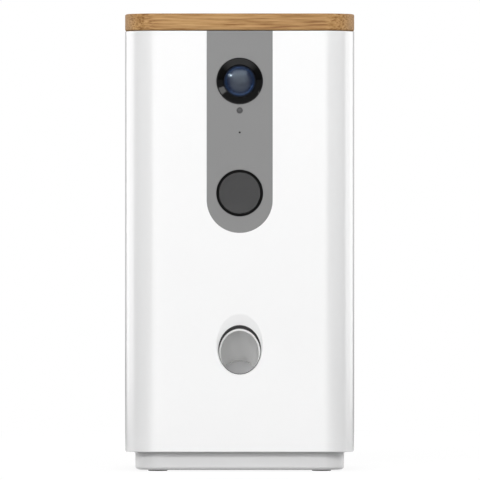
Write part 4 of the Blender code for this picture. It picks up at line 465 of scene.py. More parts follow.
solderMask = dict(
    cellScale=320, cellStops=((0.04, (0.06, 0.3, 0.12)), (0.09, (0.015, 0.13, 0.05))), fineScale=700,
    roughness=(0.28, 0.42), traceDepth=0.00002, reliefStrength=0.3,
)
finishes = {
    # slot: name, colour, roughness, variation, grain, grain's depth, coat, specular
    "white_shell": mouldedPlastic("whiteShell", (0.86, 0.86, 0.862), 0.2, 0.004, 1600, 0.000002, 0, 0.8),
    "grey_fascia": mouldedPlastic("greyFascia", (0.208, 0.208, 0.208), 0.42, 0.01, 2600, 0.00001),
    "light_grey_base": mouldedPlastic("lightGreyBase", (0.72, 0.72, 0.722), 0.36, 0.01, 1800, 0.00001),
    "black_gloss": mouldedPlastic("blackGloss", (0.003, 0.003, 0.0032), 0.1, 0.1, 900, 0.000002, 0, 0.22),
    "black_matte": mouldedPlastic("blackMatte", (0.02, 0.02, 0.021), 0.55, 0.05, 1500, 0.00002),
    "silicone": mouldedPlastic("silicone", (0.72, 0.72, 0.7), 0.6, 0.03, 1200, 0.00002),
    "rubber": mouldedPlastic("rubber", (0.035, 0.035, 0.036), 0.8, 0.06, 1400, 0.00004),
    "clear_plastic": mouldedPlastic("frostedClear", (0.7, 0.73, 0.76), 0.3, 0.02, 900, 0.00001, 0.3),
    "natural_plastic": mouldedPlastic("naturalPlastic", (0.9, 0.9, 0.895), 0.3, 0.02, 1300, 0.00001),
    "grey_plastic": mouldedPlastic("greyPlastic", (0.43, 0.43, 0.435), 0.35, 0.03, 1300, 0.00002),
    "orange_plastic": mouldedPlastic("orangePlastic", (0.78, 0.2, 0.035), 0.35, 0.03, 1300, 0.00001),
    # slot: name, colour, roughness, stretch of the lines, grain
    "steel": drawnMetal("zincSteel", (0.62, 0.62, 0.64), 0.3, (1, 1, 6)),
    "brass": drawnMetal("machinedBrass", (0.72, 0.5, 0.2), 0.26, (8, 1, 1)),
    "spring_steel": drawnMetal("springWire", (0.5, 0.5, 0.53), 0.24, (1, 6, 1), 900),
    "circuit_board": circuitBoard(solderMask),
}
bamboo = dict(
    stripStart=0.2, stripWidth=0.0175, stripShift=3, seamShare=0.012, seamTone=0.55, topFrom=0.7,
    knucklesPerMetre=4.5, knuckleShare=0.012, knuckleEnd=0.5, knuckleTone=0.3,
    grainStretch=(6, 160, 160), fibreNoise=(6, 5, 0.6), bandNoise=(1.6, 3, 0.5),
    grainStops=((0.36, (0.26, 0.12, 0.036)), (0.47, (0.44, 0.245, 0.09)), (0.64, (0.57, 0.355, 0.155))),
    bandStops=((0.3, (0.84, 0.8, 0.76)), (0.7, (1.04, 1.03, 1.02))),
    stripStops=((0, (0.93, 0.92, 0.9)), (1, (1.05, 1.04, 1.02))),
    seamColour=(0.25, 0.14, 0.06), roughness=(0.5, 0.7), fibreDepth=0.00006, reliefStrength=0.5, specular=0.3,
)
finishes["bamboo"] = bambooBoard(bamboo)
print("finishes made:", len(finishes))


# Sleeve

sleeve = dict(
    half=0.0700, low=0.0118, top=0.2684, corner=0.0200, cornerSteps=24, wall=0.0026,
    lowEdge=0.0006, topEdge=0.0004, over=0.003, seam=0.00005,
    outletHeight=0.0747, slope=radians(30), outletRadius=0.0130,
    boreSides=96, borePlace=0.005, boreLength=0.06,
    collarRadius=0.0152, collarDepth=0.0130, collarPlace=0.008, collarSides=64,
    flareHalfWidth=0.0142, flareHalfHeight=0.01925, flareHeight=0.0772, flareDepth=0.0010, flareRings=12,
    flareSlope=0.5, flareLap=0.00005,
    bossPlace=0.0500, bossRadius=0.0044, bossLow=0.0148, bossTop=0.0348, holeRadius=0.0017, holeLength=0.025,
    webHalf=0.0012, webReach=0.0187, webEnd=0.001,
    ledgePlace=0.0400, ledgeHalf=0.0060, ledgeDepth=0.0030, ledgeTop=0.2575, ledgeLow=0.2515,
    speakerHeight=0.0700, speakerRadius=0.0183, speakerWall=0.0016, speakerDepth=0.0030, speakerLap=0.0005,
    grilleRadius=0.0130, grillePitch=0.0044, grilleHole=0.0011,
    socketHeight=0.0260, recessHalf=(0.0065, 0.0036), recessDepth=0.0014, openingHalf=(0.0048, 0.0019),
    roundEnd=0.999, buttonPlace=0.0240, buttonHole=0.0028, buttonCut=0.012,
)
fascia = dict(
    halfWidth=0.02005, roundHeight=0.1654, edge=0.00012, flange=0.0025, flangeThickness=0.0016, gap=0.0003,
    neckInset=0.0001, neckShort=0.0008,
    backTop=0.2575, lensHeight=0.2378, lensHole=0.01425, windowHeight=0.1696, windowHole=0.0143,
    sensorHeight=0.2199, sensorHole=0.0019, micHeight=0.2065, micHole=0.00062,
)
front = -sleeve["half"]
back = sleeve["half"]
launchTurn = (quarter - sleeve["slope"], 0, 0)


def alongLaunch(place):
    # A point on the launch axis, measured inward from the front face
    inward = Vector((0, cos(sleeve["slope"]), -sin(sleeve["slope"])))
    return Vector((0, front, sleeve["outletHeight"])) + inward * place


def newPill(name, halfWidth, top, nearY, farY):
    # A block with a half-round lower end
    middle = fascia["roundHeight"]
    piece = newBlock(name, (-halfWidth, nearY, middle), (halfWidth, farY, top))
    end = newRod(name + "End", (0, (nearY + farY) / 2, middle), halfWidth, farY - nearY, toFront, 128)
    carve(piece, end, "UNION")
    return piece


def flareEase(share):
    # How deep the scoop is at a share of its way in: partly straight, partly a quarter circle
    straight = sleeve["flareSlope"]
    return straight * share + (1 - straight) * (1 - sqrt(1 - share ** 2))


def newFlare():
    # Scoop from the wide oval on the front face down to the round bore
    s = sleeve
    boreX = s["outletRadius"] - s["flareLap"]
    boreZ = boreX / cos(s["slope"])
    boreHeight = s["outletHeight"] - s["flareDepth"] * tan(s["slope"])
    start = front - s["over"]
    centre = Vector((0, start, s["flareHeight"]))
    clearPick()
    bpy.ops.mesh.primitive_circle_add(
        vertices=s["boreSides"], radius=1, fill_type="NGON", location=centre, rotation=toFront)
    tool = bpy.context.object
    tool.name = "flareTool"
    settle(tool)
    startEdit(tool, "FACE")
    bpy.ops.mesh.select_all(action="SELECT")
    shares = [step / s["flareRings"] for step in range(s["flareRings"] + 1)]
    rings = [(0, start)] + [(share, front + s["flareDepth"] * flareEase(share)) for share in shares]
    halfX, halfZ = 1, 1
    for number, (share, depth) in enumerate(rings):
        nextX = s["flareHalfWidth"] + (boreX - s["flareHalfWidth"]) * share
        nextZ = s["flareHalfHeight"] + (boreZ - s["flareHalfHeight"]) * share
        place = Vector((0, depth, s["flareHeight"] + (boreHeight - s["flareHeight"]) * share))
        if number:
            bpy.ops.mesh.extrude_region_move(TRANSFORM_OT_translate={"value": place - centre})
        bpy.ops.transform.resize(value=(nextX / halfX, 1, nextZ / halfZ), center_override=place)
        halfX, halfZ, centre = nextX, nextZ, place
    bpy.ops.mesh.select_all(action="SELECT")
    bpy.ops.mesh.normals_make_consistent(inside=False)
    stopEdit()
    return tool


def cutOutlet(piece):
    s = sleeve
    collar = newRod("collar", alongLaunch(s["collarPlace"]), s["collarRadius"], s["boreLength"], launchTurn,
                    s["collarSides"])
    startEdit(collar, "FACE")
    bisectAll((0, front + s["wall"] / 2, 0), (0, -1, 0))
    bisectAll((0, front + s["collarDepth"], 0), (0, 1, 0))
    stopEdit()
    carve(piece, collar, "UNION")
    carve(piece, newRod("bore", alongLaunch(s["borePlace"]), s["outletRadius"], s["boreLength"], launchTurn,
                        s["boreSides"]))
    carve(piece, newFlare())


def addBosses(piece):
    # In each corner a screw boss on a web, and near it a ledge that carries the bin
    s = sleeve
    room, length = s["half"] - s["wall"], s["bossTop"] - s["bossLow"]
    for x in (-1, 1):
        for y in (-1, 1):
            spot = (x * s["bossPlace"], y * s["bossPlace"], (s["bossLow"] + s["bossTop"]) / 2)
            carve(piece, newRod("boss", spot, s["bossRadius"], length, sides=24), "UNION")
            web = newBlock("web", (0, -s["webHalf"], -length / 2 + s["webEnd"]),
                           (s["webReach"], s["webHalf"], length / 2 - s["webEnd"]))
            web.rotation_euler = (0, 0, Vector((x, y)).angle_signed(Vector((1, 0))))
            web.location = spot
            carve(piece, settle(web), "UNION")
            hole = (spot[0], spot[1], s["bossLow"])
            carve(piece, newRod("bossHole", hole, s["holeRadius"], s["holeLength"], sides=16))
            inner, outer = x * (room - s["ledgeDepth"]), x * (room + s["wall"] / 2)
            carve(piece, newBlock(
                "ledge", (min(inner, outer), y * s["ledgePlace"] - s["ledgeHalf"], s["ledgeLow"]),
                (max(inner, outer), y * s["ledgePlace"] + s["ledgeHalf"], s["ledgeTop"])), "UNION")


def addSpeakerSeat(piece):
    s = sleeve
    inside, depth, lap = back - s["wall"], s["speakerDepth"], s["speakerLap"]
    ring = newRod("speakerSeat", (0, inside - depth / 2 + lap, s["speakerHeight"]),
                  s["speakerRadius"] + s["speakerWall"], depth + 2 * lap, toBack, 48)
    carve(ring, newRod("speakerRoom", (0, inside - depth, s["speakerHeight"]), s["speakerRadius"],
                       cutLength, toBack, 48))
    carve(piece, ring, "UNION")
    rows = int(s["grilleRadius"] / s["grillePitch"]) + 1
    for row in range(-rows, rows + 1):
        for column in range(-rows, rows + 1):
            x = (column + (row % 2) / 2) * s["grillePitch"]
            z = row * s["grillePitch"] * sin(radians(60))
            if x * x + z * z <= s["grilleRadius"] ** 2:
                spot = (-x, back - s["wall"] / 2, s["speakerHeight"] + z)
                carve(piece, newRod("grilleHole", spot, s["grilleHole"], s["wall"] * 3, toBack, 20))


def cutRearHoles(piece):
    s = sleeve
    for (halfX, halfZ), depth in (
            (s["recessHalf"], s["recessDepth"]), (s["openingHalf"], s["wall"] + s["over"])):
        slot = newRoundedBlock(
            "slot", (-halfX, -halfZ, -depth), (halfX, halfZ, s["over"]), halfZ * s["roundEnd"], 8)
        slot.rotation_euler = toBack
        slot.location = (0, back, s["socketHeight"])
        carve(piece, settle(slot))
    spot = (s["buttonPlace"], back, s["socketHeight"])
    carve(piece, newRod("buttonHole", spot, s["buttonHole"], s["buttonCut"], toBack, 40))


def makeSleeve():
    s = sleeve
    half, over = s["half"], s["over"]
    room = half - s["wall"]
    piece = newRoundedBlock("sleeve", (-half, -half, s["low"]), (half, half, s["top"]), s["corner"],
                            s["cornerSteps"], s["lowEdge"], s["topEdge"])
    carve(piece, newRoundedBlock("sleeveRoom", (-room, -room, s["low"] - over), (room, room, s["top"] + over),
                                 s["corner"] - s["wall"], s["cornerSteps"]))
    cutOutlet(piece)
    carve(piece, newPill("fasciaOpening", fascia["halfWidth"] + s["seam"], s["top"] + over, front - over,
                         front + s["wall"] + over))
    addBosses(piece)
    addSpeakerSeat(piece)
    cutRearHoles(piece)
    smooth(piece, "shell")
    dress(piece, "white_shell", stands=("body_shell",))


def makeFascia():
    f, wall = fascia, sleeve["wall"]
    piece = newPill("fasciaPlate", f["halfWidth"], sleeve["top"], front, front + wall)
    softenEdges(piece, f["edge"], 60)
    flangeFront = front + wall + f["gap"]
    flangeBack = flangeFront + f["flangeThickness"]
    carve(piece, newPill("neck", f["halfWidth"] - f["neckInset"], f["backTop"], front + wall / 2,
                         flangeBack - f["neckShort"]), "UNION")
    flange = newPill("flange", f["halfWidth"] + f["flange"], f["backTop"], flangeFront, flangeBack)
    carve(piece, flange, "UNION")
    for name, sides in (("lens", 128), ("window", 128), ("sensor", 48), ("mic", 24)):
        spot = (0, front, f[name + "Height"])
        carve(piece, newRod(name + "Hole", spot, f[name + "Hole"], cutLength, toFront, sides))
    smooth(piece, "shell")
    dress(piece, "grey_fascia", stands=("front_fascia",))


makeSleeve()
makeFascia()
print("sleeve and fascia made")


# Lid and plinth

lid = dict(low=0.2687, top=0.27895, half=0.0700, corner=0.0200, cornerSteps=24, edge=0.0010, edgeSteps=5)
plinth = dict(
    half=0.0638, corner=0.0138, cornerSteps=24, low=0.0008, top=0.0118, lowEdge=0.0020, lowEdgeSteps=5,
    topFrom=0.9, cove=0.0016, coveSteps=8, wall=0.0030, floor=0.0026, over=0.003,
    postRadius=0.0052, footPlace=0.0500, footRadius=0.0063, footDepth=0.0021,
    headRadius=0.0032, headTop=0.0063, holeRadius=0.0017,
)


def makeLid():
    d = lid
    half = d["half"]
    piece = newRoundedBlock("lidBoard", (-half, -half, d["low"]), (half, half, d["top"]),
                            d["corner"], d["cornerSteps"], d["edge"], d["edge"], d["edgeSteps"])
    smooth(piece, "solid")
    dress(piece, "bamboo", "lid", ("lid_board",))


def makePlinth():
    d = plinth
    half, room = d["half"], d["half"] - d["wall"]
    piece = newRoundedBlock("plinth", (-half, -half, d["low"]), (half, half, d["top"] - d["cove"]),
                            d["corner"], d["cornerSteps"], d["lowEdge"], 0, d["lowEdgeSteps"])
    startEdit(piece, "FACE")
    pickFaces(piece, lambda centre, normal: normal.z > d["topFrom"])
    height, size = 0.0, half
    for step in range(1, d["coveSteps"] + 1):
        angle = quarter * step / d["coveSteps"]
        nextHeight = d["cove"] * sin(angle)
        nextSize = half + d["cove"] * (1 - cos(angle))
        bpy.ops.mesh.extrude_region_move(TRANSFORM_OT_translate={"value": (0, 0, nextHeight - height)})
        bpy.ops.transform.resize(value=(nextSize / size, nextSize / size, 1), center_override=(0, 0, 0))
        height, size = nextHeight, nextSize
    stopEdit()
    carve(piece, newRoundedBlock(
        "plinthRoom", (-room, -room, d["low"] + d["floor"]), (room, room, d["top"] + d["over"]),
        d["corner"] - d["wall"], d["cornerSteps"]))
    low, top = d["low"] + d["floor"] / 2, d["top"]
    for x in (-d["footPlace"], d["footPlace"]):
        for y in (-d["footPlace"], d["footPlace"]):
            post = newRod("post", (x, y, (low + top) / 2), d["postRadius"], top - low, sides=32)
            carve(piece, post, "UNION")
            carve(piece, newRod("footSeat", (x, y, 0), d["footRadius"], 2 * d["footDepth"], sides=48))
            carve(piece, newRod("headHole", (x, y, 0), d["headRadius"], 2 * d["headTop"], sides=32))
            carve(piece, newRod("shankHole", (x, y, d["top"] / 2), d["holeRadius"], cutLength, sides=16))
    smooth(piece, "solid")
    dress(piece, "light_grey_base", stands=("base_plinth",))


makeLid()
makePlinth()
print("lid and plinth made")


# Camera lens

lens = dict(
    height=0.2378, ringRadius=0.01395, proud=0.0005, lip=0.0002, lipShare=1.4,
    coneInner=0.01025, coneDepth=0.0024, coneFoot=(0.0001, 0.00005), coneStep=0.0001,
    wellRadius=0.0101, wellLowRadius=0.0095, well=-0.0053, seatRadius=0.0084,
    neckRadius=0.0121, shoulder=-0.0048, neckEnd=-0.0100,
    glassRadius=0.0094, glassRim=-0.0036, glassDome=0.0019, glassThickness=0.0010,
    underInset=0.0006, underShare=0.8,
    beadRadius=0.0083, beadHalf=0.00085, beadRise=0.0003, beadLow=-0.0055,
    beadShape=((1, -0.3), (1, 0), (0.72, 0.35), (0.4, 0.68), (0.08, 0.96),
               (-0.08, 0.96), (-0.4, 0.68), (-0.72, 0.35), (-1, 0), (-1, -0.3)),
    elementRadius=0.0072, domeRadius=0.0034, domeRise=0.00062, domeStep=0.0001,
    elementEdge=-0.0057, elementLow=-0.00615,
    cover=dict(
        roughness=0.15, metallic=0.0, specular=0.5, alpha=0.45,
        stops=((0.0, (0.03, 0.03, 0.045)), (0.75, (0.015, 0.02, 0.045)), (1.0, (0.01, 0.025, 0.07)))),
    bead=dict(
        roughness=0.24, metallic=1.0, specular=0.5, alpha=1.0,
        stops=((0.0, (0.03, 0.08, 0.22)), (0.9, (0.03, 0.08, 0.24)), (1.0, (0.035, 0.1, 0.28)))),
    # The inner element's pale grey middle is a painted reflection of the studio in front, getting darker and
    # bluer toward its rim
    element=dict(
        roughness=0.2, metallic=0.0, specular=0.4, alpha=1.0,
        stops=((0.0, (0.3, 0.33, 0.38)), (0.75, (0.25, 0.29, 0.36)), (0.9, (0.1, 0.13, 0.25)),
               (0.97, (0.03, 0.06, 0.2)))),
)


def domeProfile(radius, rise, top, steps=16):
    # From the middle of a shallow dome out to its rim
    sphere = (radius * radius + rise * rise) / (2 * rise)
    reach = asin(min(1, radius / sphere))
    return [(sphere * sin(reach * step / steps), top - sphere * (1 - cos(reach * step / steps)))
            for step in range(steps + 1)]


def roundCorner(radius, height, edge, quarterNumber, steps=4):
    # Points of a quarter-round edge; the quarter is counted from the outside toward the top
    angles = [quarterNumber * quarter + quarter * step / steps for step in range(steps + 1)]
    return [(radius + edge * cos(angle), height + edge * sin(angle)) for angle in angles]


def makeLens():
    d = lens
    seat = (0, front, d["height"])
    rim, edge, lipHeight = d["ringRadius"], d["lip"] / 2, d["proud"] - d["lip"] / 2
    coneLow = d["proud"] - d["coneDepth"]
    footOut, footUp = d["coneFoot"]
    profile = roundCorner(rim - edge, lipHeight, edge, 0)
    profile += roundCorner(rim - d["lip"] * d["lipShare"], lipHeight, edge, 1)[1:]
    profile += [(d["coneInner"] + footOut, coneLow + footUp), (d["coneInner"], coneLow),
                (d["wellRadius"], coneLow - d["coneStep"]), (d["wellLowRadius"], d["well"]),
                (d["seatRadius"], d["well"]), (d["seatRadius"], d["neckEnd"]),
                (d["neckRadius"], d["neckEnd"]), (d["neckRadius"], d["shoulder"]), (rim, d["shoulder"])]
    ring = newTurned("lensRing", profile, seat, steps=128, closed=True)
    smooth(ring, "turned")
    dress(ring, "black_gloss", stands=("lens_hood",))

    # Thin curved cover glass
    top = d["glassRim"] + d["glassDome"]
    under = domeProfile(
        d["glassRadius"] - d["underInset"], d["glassDome"] * d["underShare"], top - d["glassThickness"])
    profile = domeProfile(d["glassRadius"], d["glassDome"], top)
    profile += [(d["glassRadius"], d["glassRim"] - d["glassThickness"])] + under[::-1]
    cover = newTurned("lensGlass", profile, seat, steps=128)
    smooth(cover, "turned")
    glass = coatedGlass("frontCoating", d["glassRadius"], d["cover"])
    dress(cover, "lens_glass", stands=("lens_glass",), material=glass)

    # Retaining bead round the front element
    profile = [(d["beadRadius"] + across * d["beadHalf"], d["beadLow"] + share * d["beadRise"])
               for across, share in d["beadShape"]]
    bead = newTurned("lensBead", profile, seat, steps=128, closed=True)
    smooth(bead, "bead")
    dress(bead, "lens_glass", material=coatedGlass("beadCoating", d["beadRadius"], d["bead"]))

    profile = domeProfile(d["domeRadius"], d["domeRise"], d["elementEdge"] + d["domeRise"] + d["domeStep"])
    radius, low = d["elementRadius"], d["elementLow"]
    profile += [(radius, d["elementEdge"]), (radius, low), (0, low)]
    element = newTurned("lensElement", profile, seat, steps=128)
    smooth(element, "turned")
    dress(element, "lens_glass", material=coatedGlass("elementCoatingWithPaintedReflection", radius, d["element"]))


makeLens()
print("lens made")


# Night-vision window, light sensor

window = dict(
    height=0.1696, ringRadius=0.0140, ringWidth=0.0012, edge=0.0002,
    sill=0.0014, sillGap=0.0003, ringEnd=-0.0045,
    discRadius=0.0126, discFront=-0.0003, discDome=0.00018, discThickness=0.0020, discEdge=0.0001,
    tones=((0.3, (0.032, 0.032, 0.033)), (0.7, (0.038, 0.038, 0.039))), toneScale=60, fineScale=900,
    roughness=(0.07, 0.1), alpha=0.82, specular=0.25,
)
sensor = dict(
    height=0.2199, radius=0.0016, rise=0.00025, top=0.00005, flange=0.0026, flangeFront=-0.0048, end=-0.0068,
)


def smokedWindow(look):
    material, tree, links = newMaterial("smokedWindow")
    shader = tree["Principled BSDF"]
    vector = objectPattern(tree, links)
    cloud = noise(tree, links, vector, look["toneScale"])
    links.new(ramp(tree, links, cloud, look["tones"]), shader.inputs["Base Color"])
    fine = noise(tree, links, vector, look["fineScale"])
    links.new(spread(tree, links, fine, *look["roughness"]), shader.inputs["Roughness"])
    shader.inputs["Alpha"].default_value = look["alpha"]
    shader.inputs["Specular IOR Level"].default_value = look["specular"]
    return material


def makeWindow():
    d = window
    seat = (0, front, d["height"])
    inner, edge = d["ringRadius"] - d["ringWidth"], d["edge"]
    discBack = d["discFront"] - d["discThickness"]
    profile = roundCorner(d["ringRadius"] - edge, -edge, edge, 0) + roundCorner(inner + edge, -edge, edge, 1)
    profile += [(inner, discBack - d["sillGap"]), (inner - d["sill"], discBack - d["sillGap"]),
                (inner - d["sill"], d["ringEnd"]), (d["ringRadius"], d["ringEnd"])]
    ring = newTurned("windowRing", profile, seat, steps=128, closed=True)
    smooth(ring, "turned")
    black = mouldedPlastic("bezelBlack", (0.002, 0.002, 0.002), roughness=0.4, variation=0.1, grain=1200,
                           depth=0.000005, specular=0.05)
    dress(ring, "black_gloss", stands=("ir_bezel",), material=black)

    profile = domeProfile(d["discRadius"] - d["discEdge"], d["discDome"], d["discFront"])
    profile += [(d["discRadius"], d["discFront"] - d["discDome"] - d["discEdge"]),
                (d["discRadius"], discBack), (0, discBack)]
    disc = newTurned("windowDisc", profile, seat, steps=128)
    smooth(disc, "turned")
    dress(disc, "smoked_window", stands=("ir_window",), material=smokedWindow(d))


def makeSensor():
    d = sensor
    profile = domeProfile(d["radius"], d["rise"], d["top"], 8)
    profile += [(d["radius"], d["flangeFront"]), (d["flange"], d["flangeFront"]), (d["flange"], d["end"]),
                (0, d["end"])]
    pipe = newTurned("sensorPipe", profile, (0, front, d["height"]), steps=48)
    smooth(pipe, "turned")
    frosted = mouldedPlastic("sensorLens", (0.08, 0.08, 0.082), roughness=0.5, variation=0.1, grain=1200,
                             depth=0.000005, specular=0.3)
    dress(pipe, "clear_plastic", stands=("light_sensor_lens",), material=frosted)


makeWindow()
makeSensor()
print("window and sensor made")


# Launcher and treat path

spring = dict(
    turns=12, wire=0.0006, wireSteps=3, coil=0.0074, first=0.0375, last=0.0886, endTurns=1.4, endPitch=2.15,
    points=28, keep=0.515,
)
mouth = dict(
    # The first five values shape a black ring put in as painted shade in the outlet's bore
    shadeRingOuter=0.01297, shadeRingInner=0.0127, shadeRingReach=(-0.02, 0.012), shadeRingFront=0.0009, shadeRingEnd=0.0001,
    noseSetback=0.0042, noseCut=(0.05, 0.02, 0.2), noseEdge=0.00015,
    headFace=0.0336, headRadius=0.0113, headEdge=0.0002, rimWidth=0.0012, rimDepth=0.0004, dishLength=0.004,
    # The ring values place a pale seal ring that shows as a painted highlight round the plunger head
    ringRadius=0.01128, ringHalf=0.00034, ringPlace=0.0346, ringSteps=12,
)


def makeSpring():
    # Closed end turns and open turns between them
    d = spring
    curve = bpy.data.curves.new("launchSpring", "CURVE")
    curve.dimensions = "3D"
    curve.bevel_depth = d["wire"]
    curve.bevel_resolution = d["wireSteps"]
    curve.use_fill_caps = True
    line = curve.splines.new("POLY")
    line.points.add(int(d["turns"] * d["points"]))
    pitch = d["endPitch"] * d["wire"]
    rise = d["last"] - d["first"] - 2 * d["endTurns"] * pitch
    for number, point in enumerate(line.points):
        turn = number / d["points"]
        rest = d["turns"] - turn
        if turn < d["endTurns"]:
            along = d["first"] + turn * pitch
        elif rest < d["endTurns"]:
            along = d["last"] - rest * pitch
        else:
            share = (turn - d["endTurns"]) / (d["turns"] - 2 * d["endTurns"])
            along = d["first"] + d["endTurns"] * pitch + rise * share
        point.co = (d["coil"] * cos(2 * pi * turn), d["coil"] * sin(2 * pi * turn), -along, 1)
    piece = bpy.data.objects.new("launchSpring", curve)
    bpy.context.scene.collection.objects.link(piece)
    pick(piece)
    bpy.ops.object.convert(target="MESH")
    piece = bpy.context.object
    piece.rotation_euler = launchTurn
    piece.location = alongLaunch(0)
    settle(piece)
    smooth(piece, "small")
    dress(piece, "spring_steel", stands=("launch_spring",))
    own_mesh(piece)


def makeShadeRing():
    # Black rubber ring between the sleeve and the tube, cut square to the front face. It is a dark piece put
    # in as painted shade in the bore above the tube's nose
    d = mouth
    low, high = d["shadeRingReach"]
    ring = newTurned("mouthShadeRing", [
        (d["shadeRingOuter"], high), (d["shadeRingOuter"], low), (d["shadeRingInner"], low), (d["shadeRingInner"], high)],
        alongLaunch(0), launchTurn, 96, True)
    startEdit(ring, "FACE")
    bisectAll((0, front + d["shadeRingFront"], 0), (0, -1, 0))
    bisectAll((0, front + (d["noseSetback"] - d["shadeRingEnd"]), 0), (0, 1, 0))
    stopEdit()
    smooth(ring, "solid")
    dress(ring, "rubber")


def makeTube():
    aside, ahead, top = mouth["noseCut"]
    piece = copyOfNode("launch_tube", "launchTube")
    cut = newBlock("noseCut", (-aside, front - ahead, 0), (aside, front + mouth["noseSetback"], top))
    carve(piece, cut)
    softenEdges(piece, mouth["noseEdge"])
    smooth(piece, "solid")
    dress(piece, "natural_plastic", stands=("launch_tube",))


def makePlunger():
    # The head's face is dished inside a narrow rim
    d = mouth
    piece = copyOfNode("plunger", "plungerHead")
    dish = alongLaunch(d["headFace"] - d["dishLength"] / 2 + d["rimDepth"])
    carve(piece, newRod("dish", dish, d["headRadius"] - d["rimWidth"], d["dishLength"], launchTurn, 96))
    softenEdges(piece, d["headEdge"])
    smooth(piece, "solid")
    dress(piece, "grey_plastic", "plunger", ("plunger",))
    # A pale silicone seal ring fills the gap round the head; its pale colour is a painted highlight along the
    # head's edge
    angles = [2 * pi * step / d["ringSteps"] for step in range(d["ringSteps"])]
    bead = [(d["ringRadius"] + d["ringHalf"] * cos(angle), d["ringHalf"] * sin(angle)) for angle in angles]
    ring = newTurned("plungerRingAsHighlight", bead, alongLaunch(d["ringPlace"]), launchTurn, 96, True)
    smooth(ring, "bead")
    dress(ring, "silicone", "plunger")


makeSpring()
makeShadeRing()
makeTube()
makePlunger()
softened = (
    # node, name, edge, slot, body
    ("treat_bin", "treatBin", 0.0003, "natural_plastic", "housing"),
    ("drop_baffle", "dropBaffle", 0.0003, "natural_plastic", "housing"),
    ("dosing_wheel", "dosingWheel", 0.0004, "orange_plastic", "wheel"),
    ("agitator", "agitatorArms", 0.0004, "silicone", "wheel"),
    ("drop_chute", "dropChute", 0.0002, "clear_plastic", "housing"),
    ("lid_plug", "lidPlug", 0.0003, "natural_plastic", "lid"),
    ("lid_seal", "lidSeal", 0.0006, "silicone", "lid"),
    ("reset_button", "resetButton", 0.0002, "grey_fascia", "button"),
)
for node, name, edge, slot, body in softened:
    piece = copyOfNode(node, name)
    softenEdges(piece, edge)
    smooth(piece, "solid")
    dress(piece, slot, body, (node,))
print("launcher and treat path made")

for part in frame["record"]["subparts"]:
    material = finishes.get(part["material_slot"])
    shown = nodes[part["node"]]
    if material and not shown.hide_render:
        shown.data.materials.clear()
        shown.data.materials.append(material)
print("carried-over nodes finished")


# Floor, light and camera

studio = dict(
    scale=0.0006092, lensLength=600, sensor=36, frameWidth=480, middle=(0.0002, 0.1410), focusDepth=0.004,
    clipEnd=100, floorSize=12, floorColour=0.15, floorGlow=0.88, floorNear=0.3, floorFar=0.9,
    mirrorHalf=(0.12, 0.35), mirrorGain=1.8, mirrorWhite=0.3, ambient=0.15,
    lamps=(
        # name, place, target height, width, height, power
        ("keyHigh", (0, -2.0, 2.65), 0.14, 2.4, 1.05, 9.5),
        ("keyLow", (0, -3.0, 1.55), 0.14, 2.35, 1.0, 37),
        ("frontFill", (0, -2.4, 0.45), 0.14, 1.8, 0.9, 12.5),
        ("lowFill", (0, -0.9, 0.018), 0.018, 1.2, 0.035, 0.35),
        ("leftStrip", (-1.27, 0.59, 0.3), 0.14, 1.3, 1.0, 11.5),
        ("rightStrip", (1.27, 0.59, 0.3), 0.14, 1.3, 1.0, 11.5),
        ("rear", (0, 1.5, 1.1), 0.14, 1.2, 0.8, 8),
        ("lensSpark", (-0.717, -1.417, 0.716), 0.238, 0.12, 0.12, 6),
        ("ringSpark", (0.949, -0.558, 0.786), 0.238, 0.34, 0.36, 2.1),
    ),
)


def whiteShown(tree, links, mirrored):
    # 1 where the camera sees a surface straight or through glass, and less in reflections
    rays = tree.new("ShaderNodeLightPath").outputs
    glossy = reckon(tree, links, "MULTIPLY", rays["Is Glossy Ray"], mirrored)
    direct = reckon(tree, links, "MAXIMUM", rays["Is Camera Ray"], rays["Is Transmission Ray"])
    return reckon(tree, links, "MAXIMUM", direct, glossy)


def makeWorld():
    # White background, and a soft room light on everything else
    world = bpy.data.worlds.new("studio")
    bpy.context.scene.world = world
    world.use_nodes = True
    tree, links = world.node_tree.nodes, world.node_tree.links
    choice = tree.new("ShaderNodeMix")
    choice.inputs["A"].default_value = studio["ambient"]
    choice.inputs["B"].default_value = 1
    links.new(whiteShown(tree, links, studio["mirrorWhite"]), choice.inputs["Factor"])
    background = tree["Background"]
    background.inputs["Color"].default_value = (1, 1, 1, 1)
    links.new(choice.outputs["Result"], background.inputs["Strength"])


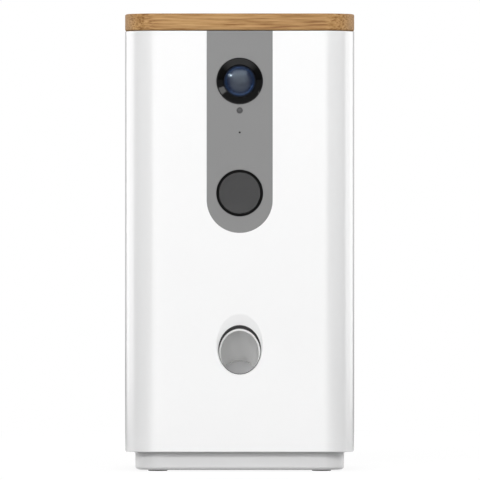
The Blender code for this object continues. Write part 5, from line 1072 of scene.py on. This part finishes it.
def makeFloor():
    # A grey sheet with a glow of its own, which turns white further out. In reflections only a strip of it
    # before the object is bright
    clearPick()
    bpy.ops.mesh.primitive_plane_add(size=studio["floorSize"], location=(0, 0, 0))
    floor = bpy.context.object
    floor.name = "floor"
    material, tree, links = newMaterial("floorSheet")
    tree.clear()
    vector = objectPattern(tree, links)
    split = tree.new("ShaderNodeSeparateXYZ")
    links.new(vector, split.inputs["Vector"])
    aside = reckon(tree, links, "ABSOLUTE", split.outputs["X"])
    mirrored = spread(tree, links, aside, studio["mirrorGain"], 0, *studio["mirrorHalf"])
    shown = whiteShown(tree, links, mirrored)
    reach = distance(tree, links, vector, (1, 1, 1))
    away = spread(tree, links, reach, 0, 1, studio["floorNear"], studio["floorFar"])
    sheet = tree.new("ShaderNodeBsdfDiffuse")
    sheet.inputs["Color"].default_value = (studio["floorColour"],) * 3 + (1,)
    glow = tree.new("ShaderNodeEmission")
    links.new(reckon(tree, links, "MULTIPLY", shown, studio["floorGlow"]), glow.inputs["Strength"])
    near = tree.new("ShaderNodeAddShader")
    links.new(sheet.outputs[0], near.inputs[0])
    links.new(glow.outputs[0], near.inputs[1])
    white = tree.new("ShaderNodeEmission")
    both = tree.new("ShaderNodeMixShader")
    links.new(reckon(tree, links, "MULTIPLY", shown, away), both.inputs["Fac"])
    links.new(near.outputs[0], both.inputs[1])
    links.new(white.outputs[0], both.inputs[2])
    out = tree.new("ShaderNodeOutputMaterial")
    links.new(both.outputs[0], out.inputs["Surface"])
    floor.data.materials.append(material)


def makeLamps():
    for name, place, target, width, height, power in studio["lamps"]:
        data = bpy.data.lights.new(name, "AREA")
        data.shape = "RECTANGLE"
        data.size = width
        data.size_y = height
        data.energy = power
        lamp = bpy.data.objects.new(name, data)
        bpy.context.scene.collection.objects.link(lamp)
        lamp.location = place
        aim = Vector((0, 0, target)) - Vector(place)
        lamp.rotation_euler = aim.to_track_quat("-Z", "Y").to_euler()


def makeCamera():
    # Far away with a long lens, straight from the front
    data = bpy.data.cameras.new("camera")
    data.lens = studio["lensLength"]
    data.sensor_width = studio["sensor"]
    data.clip_end = studio["clipEnd"]
    camera = bpy.data.objects.new("camera", data)
    bpy.context.scene.collection.objects.link(camera)
    away = studio["scale"] * studio["frameWidth"] * studio["lensLength"] / studio["sensor"]
    across, up = studio["middle"]
    camera.location = (across, front + studio["focusDepth"] - away, up)
    camera.rotation_euler = (quarter, 0, 0)
    bpy.context.scene.camera = camera


makeWorld()
makeFloor()
makeLamps()
makeCamera()
bpy.context.scene.view_settings.view_transform = "Standard"
print("studio made")
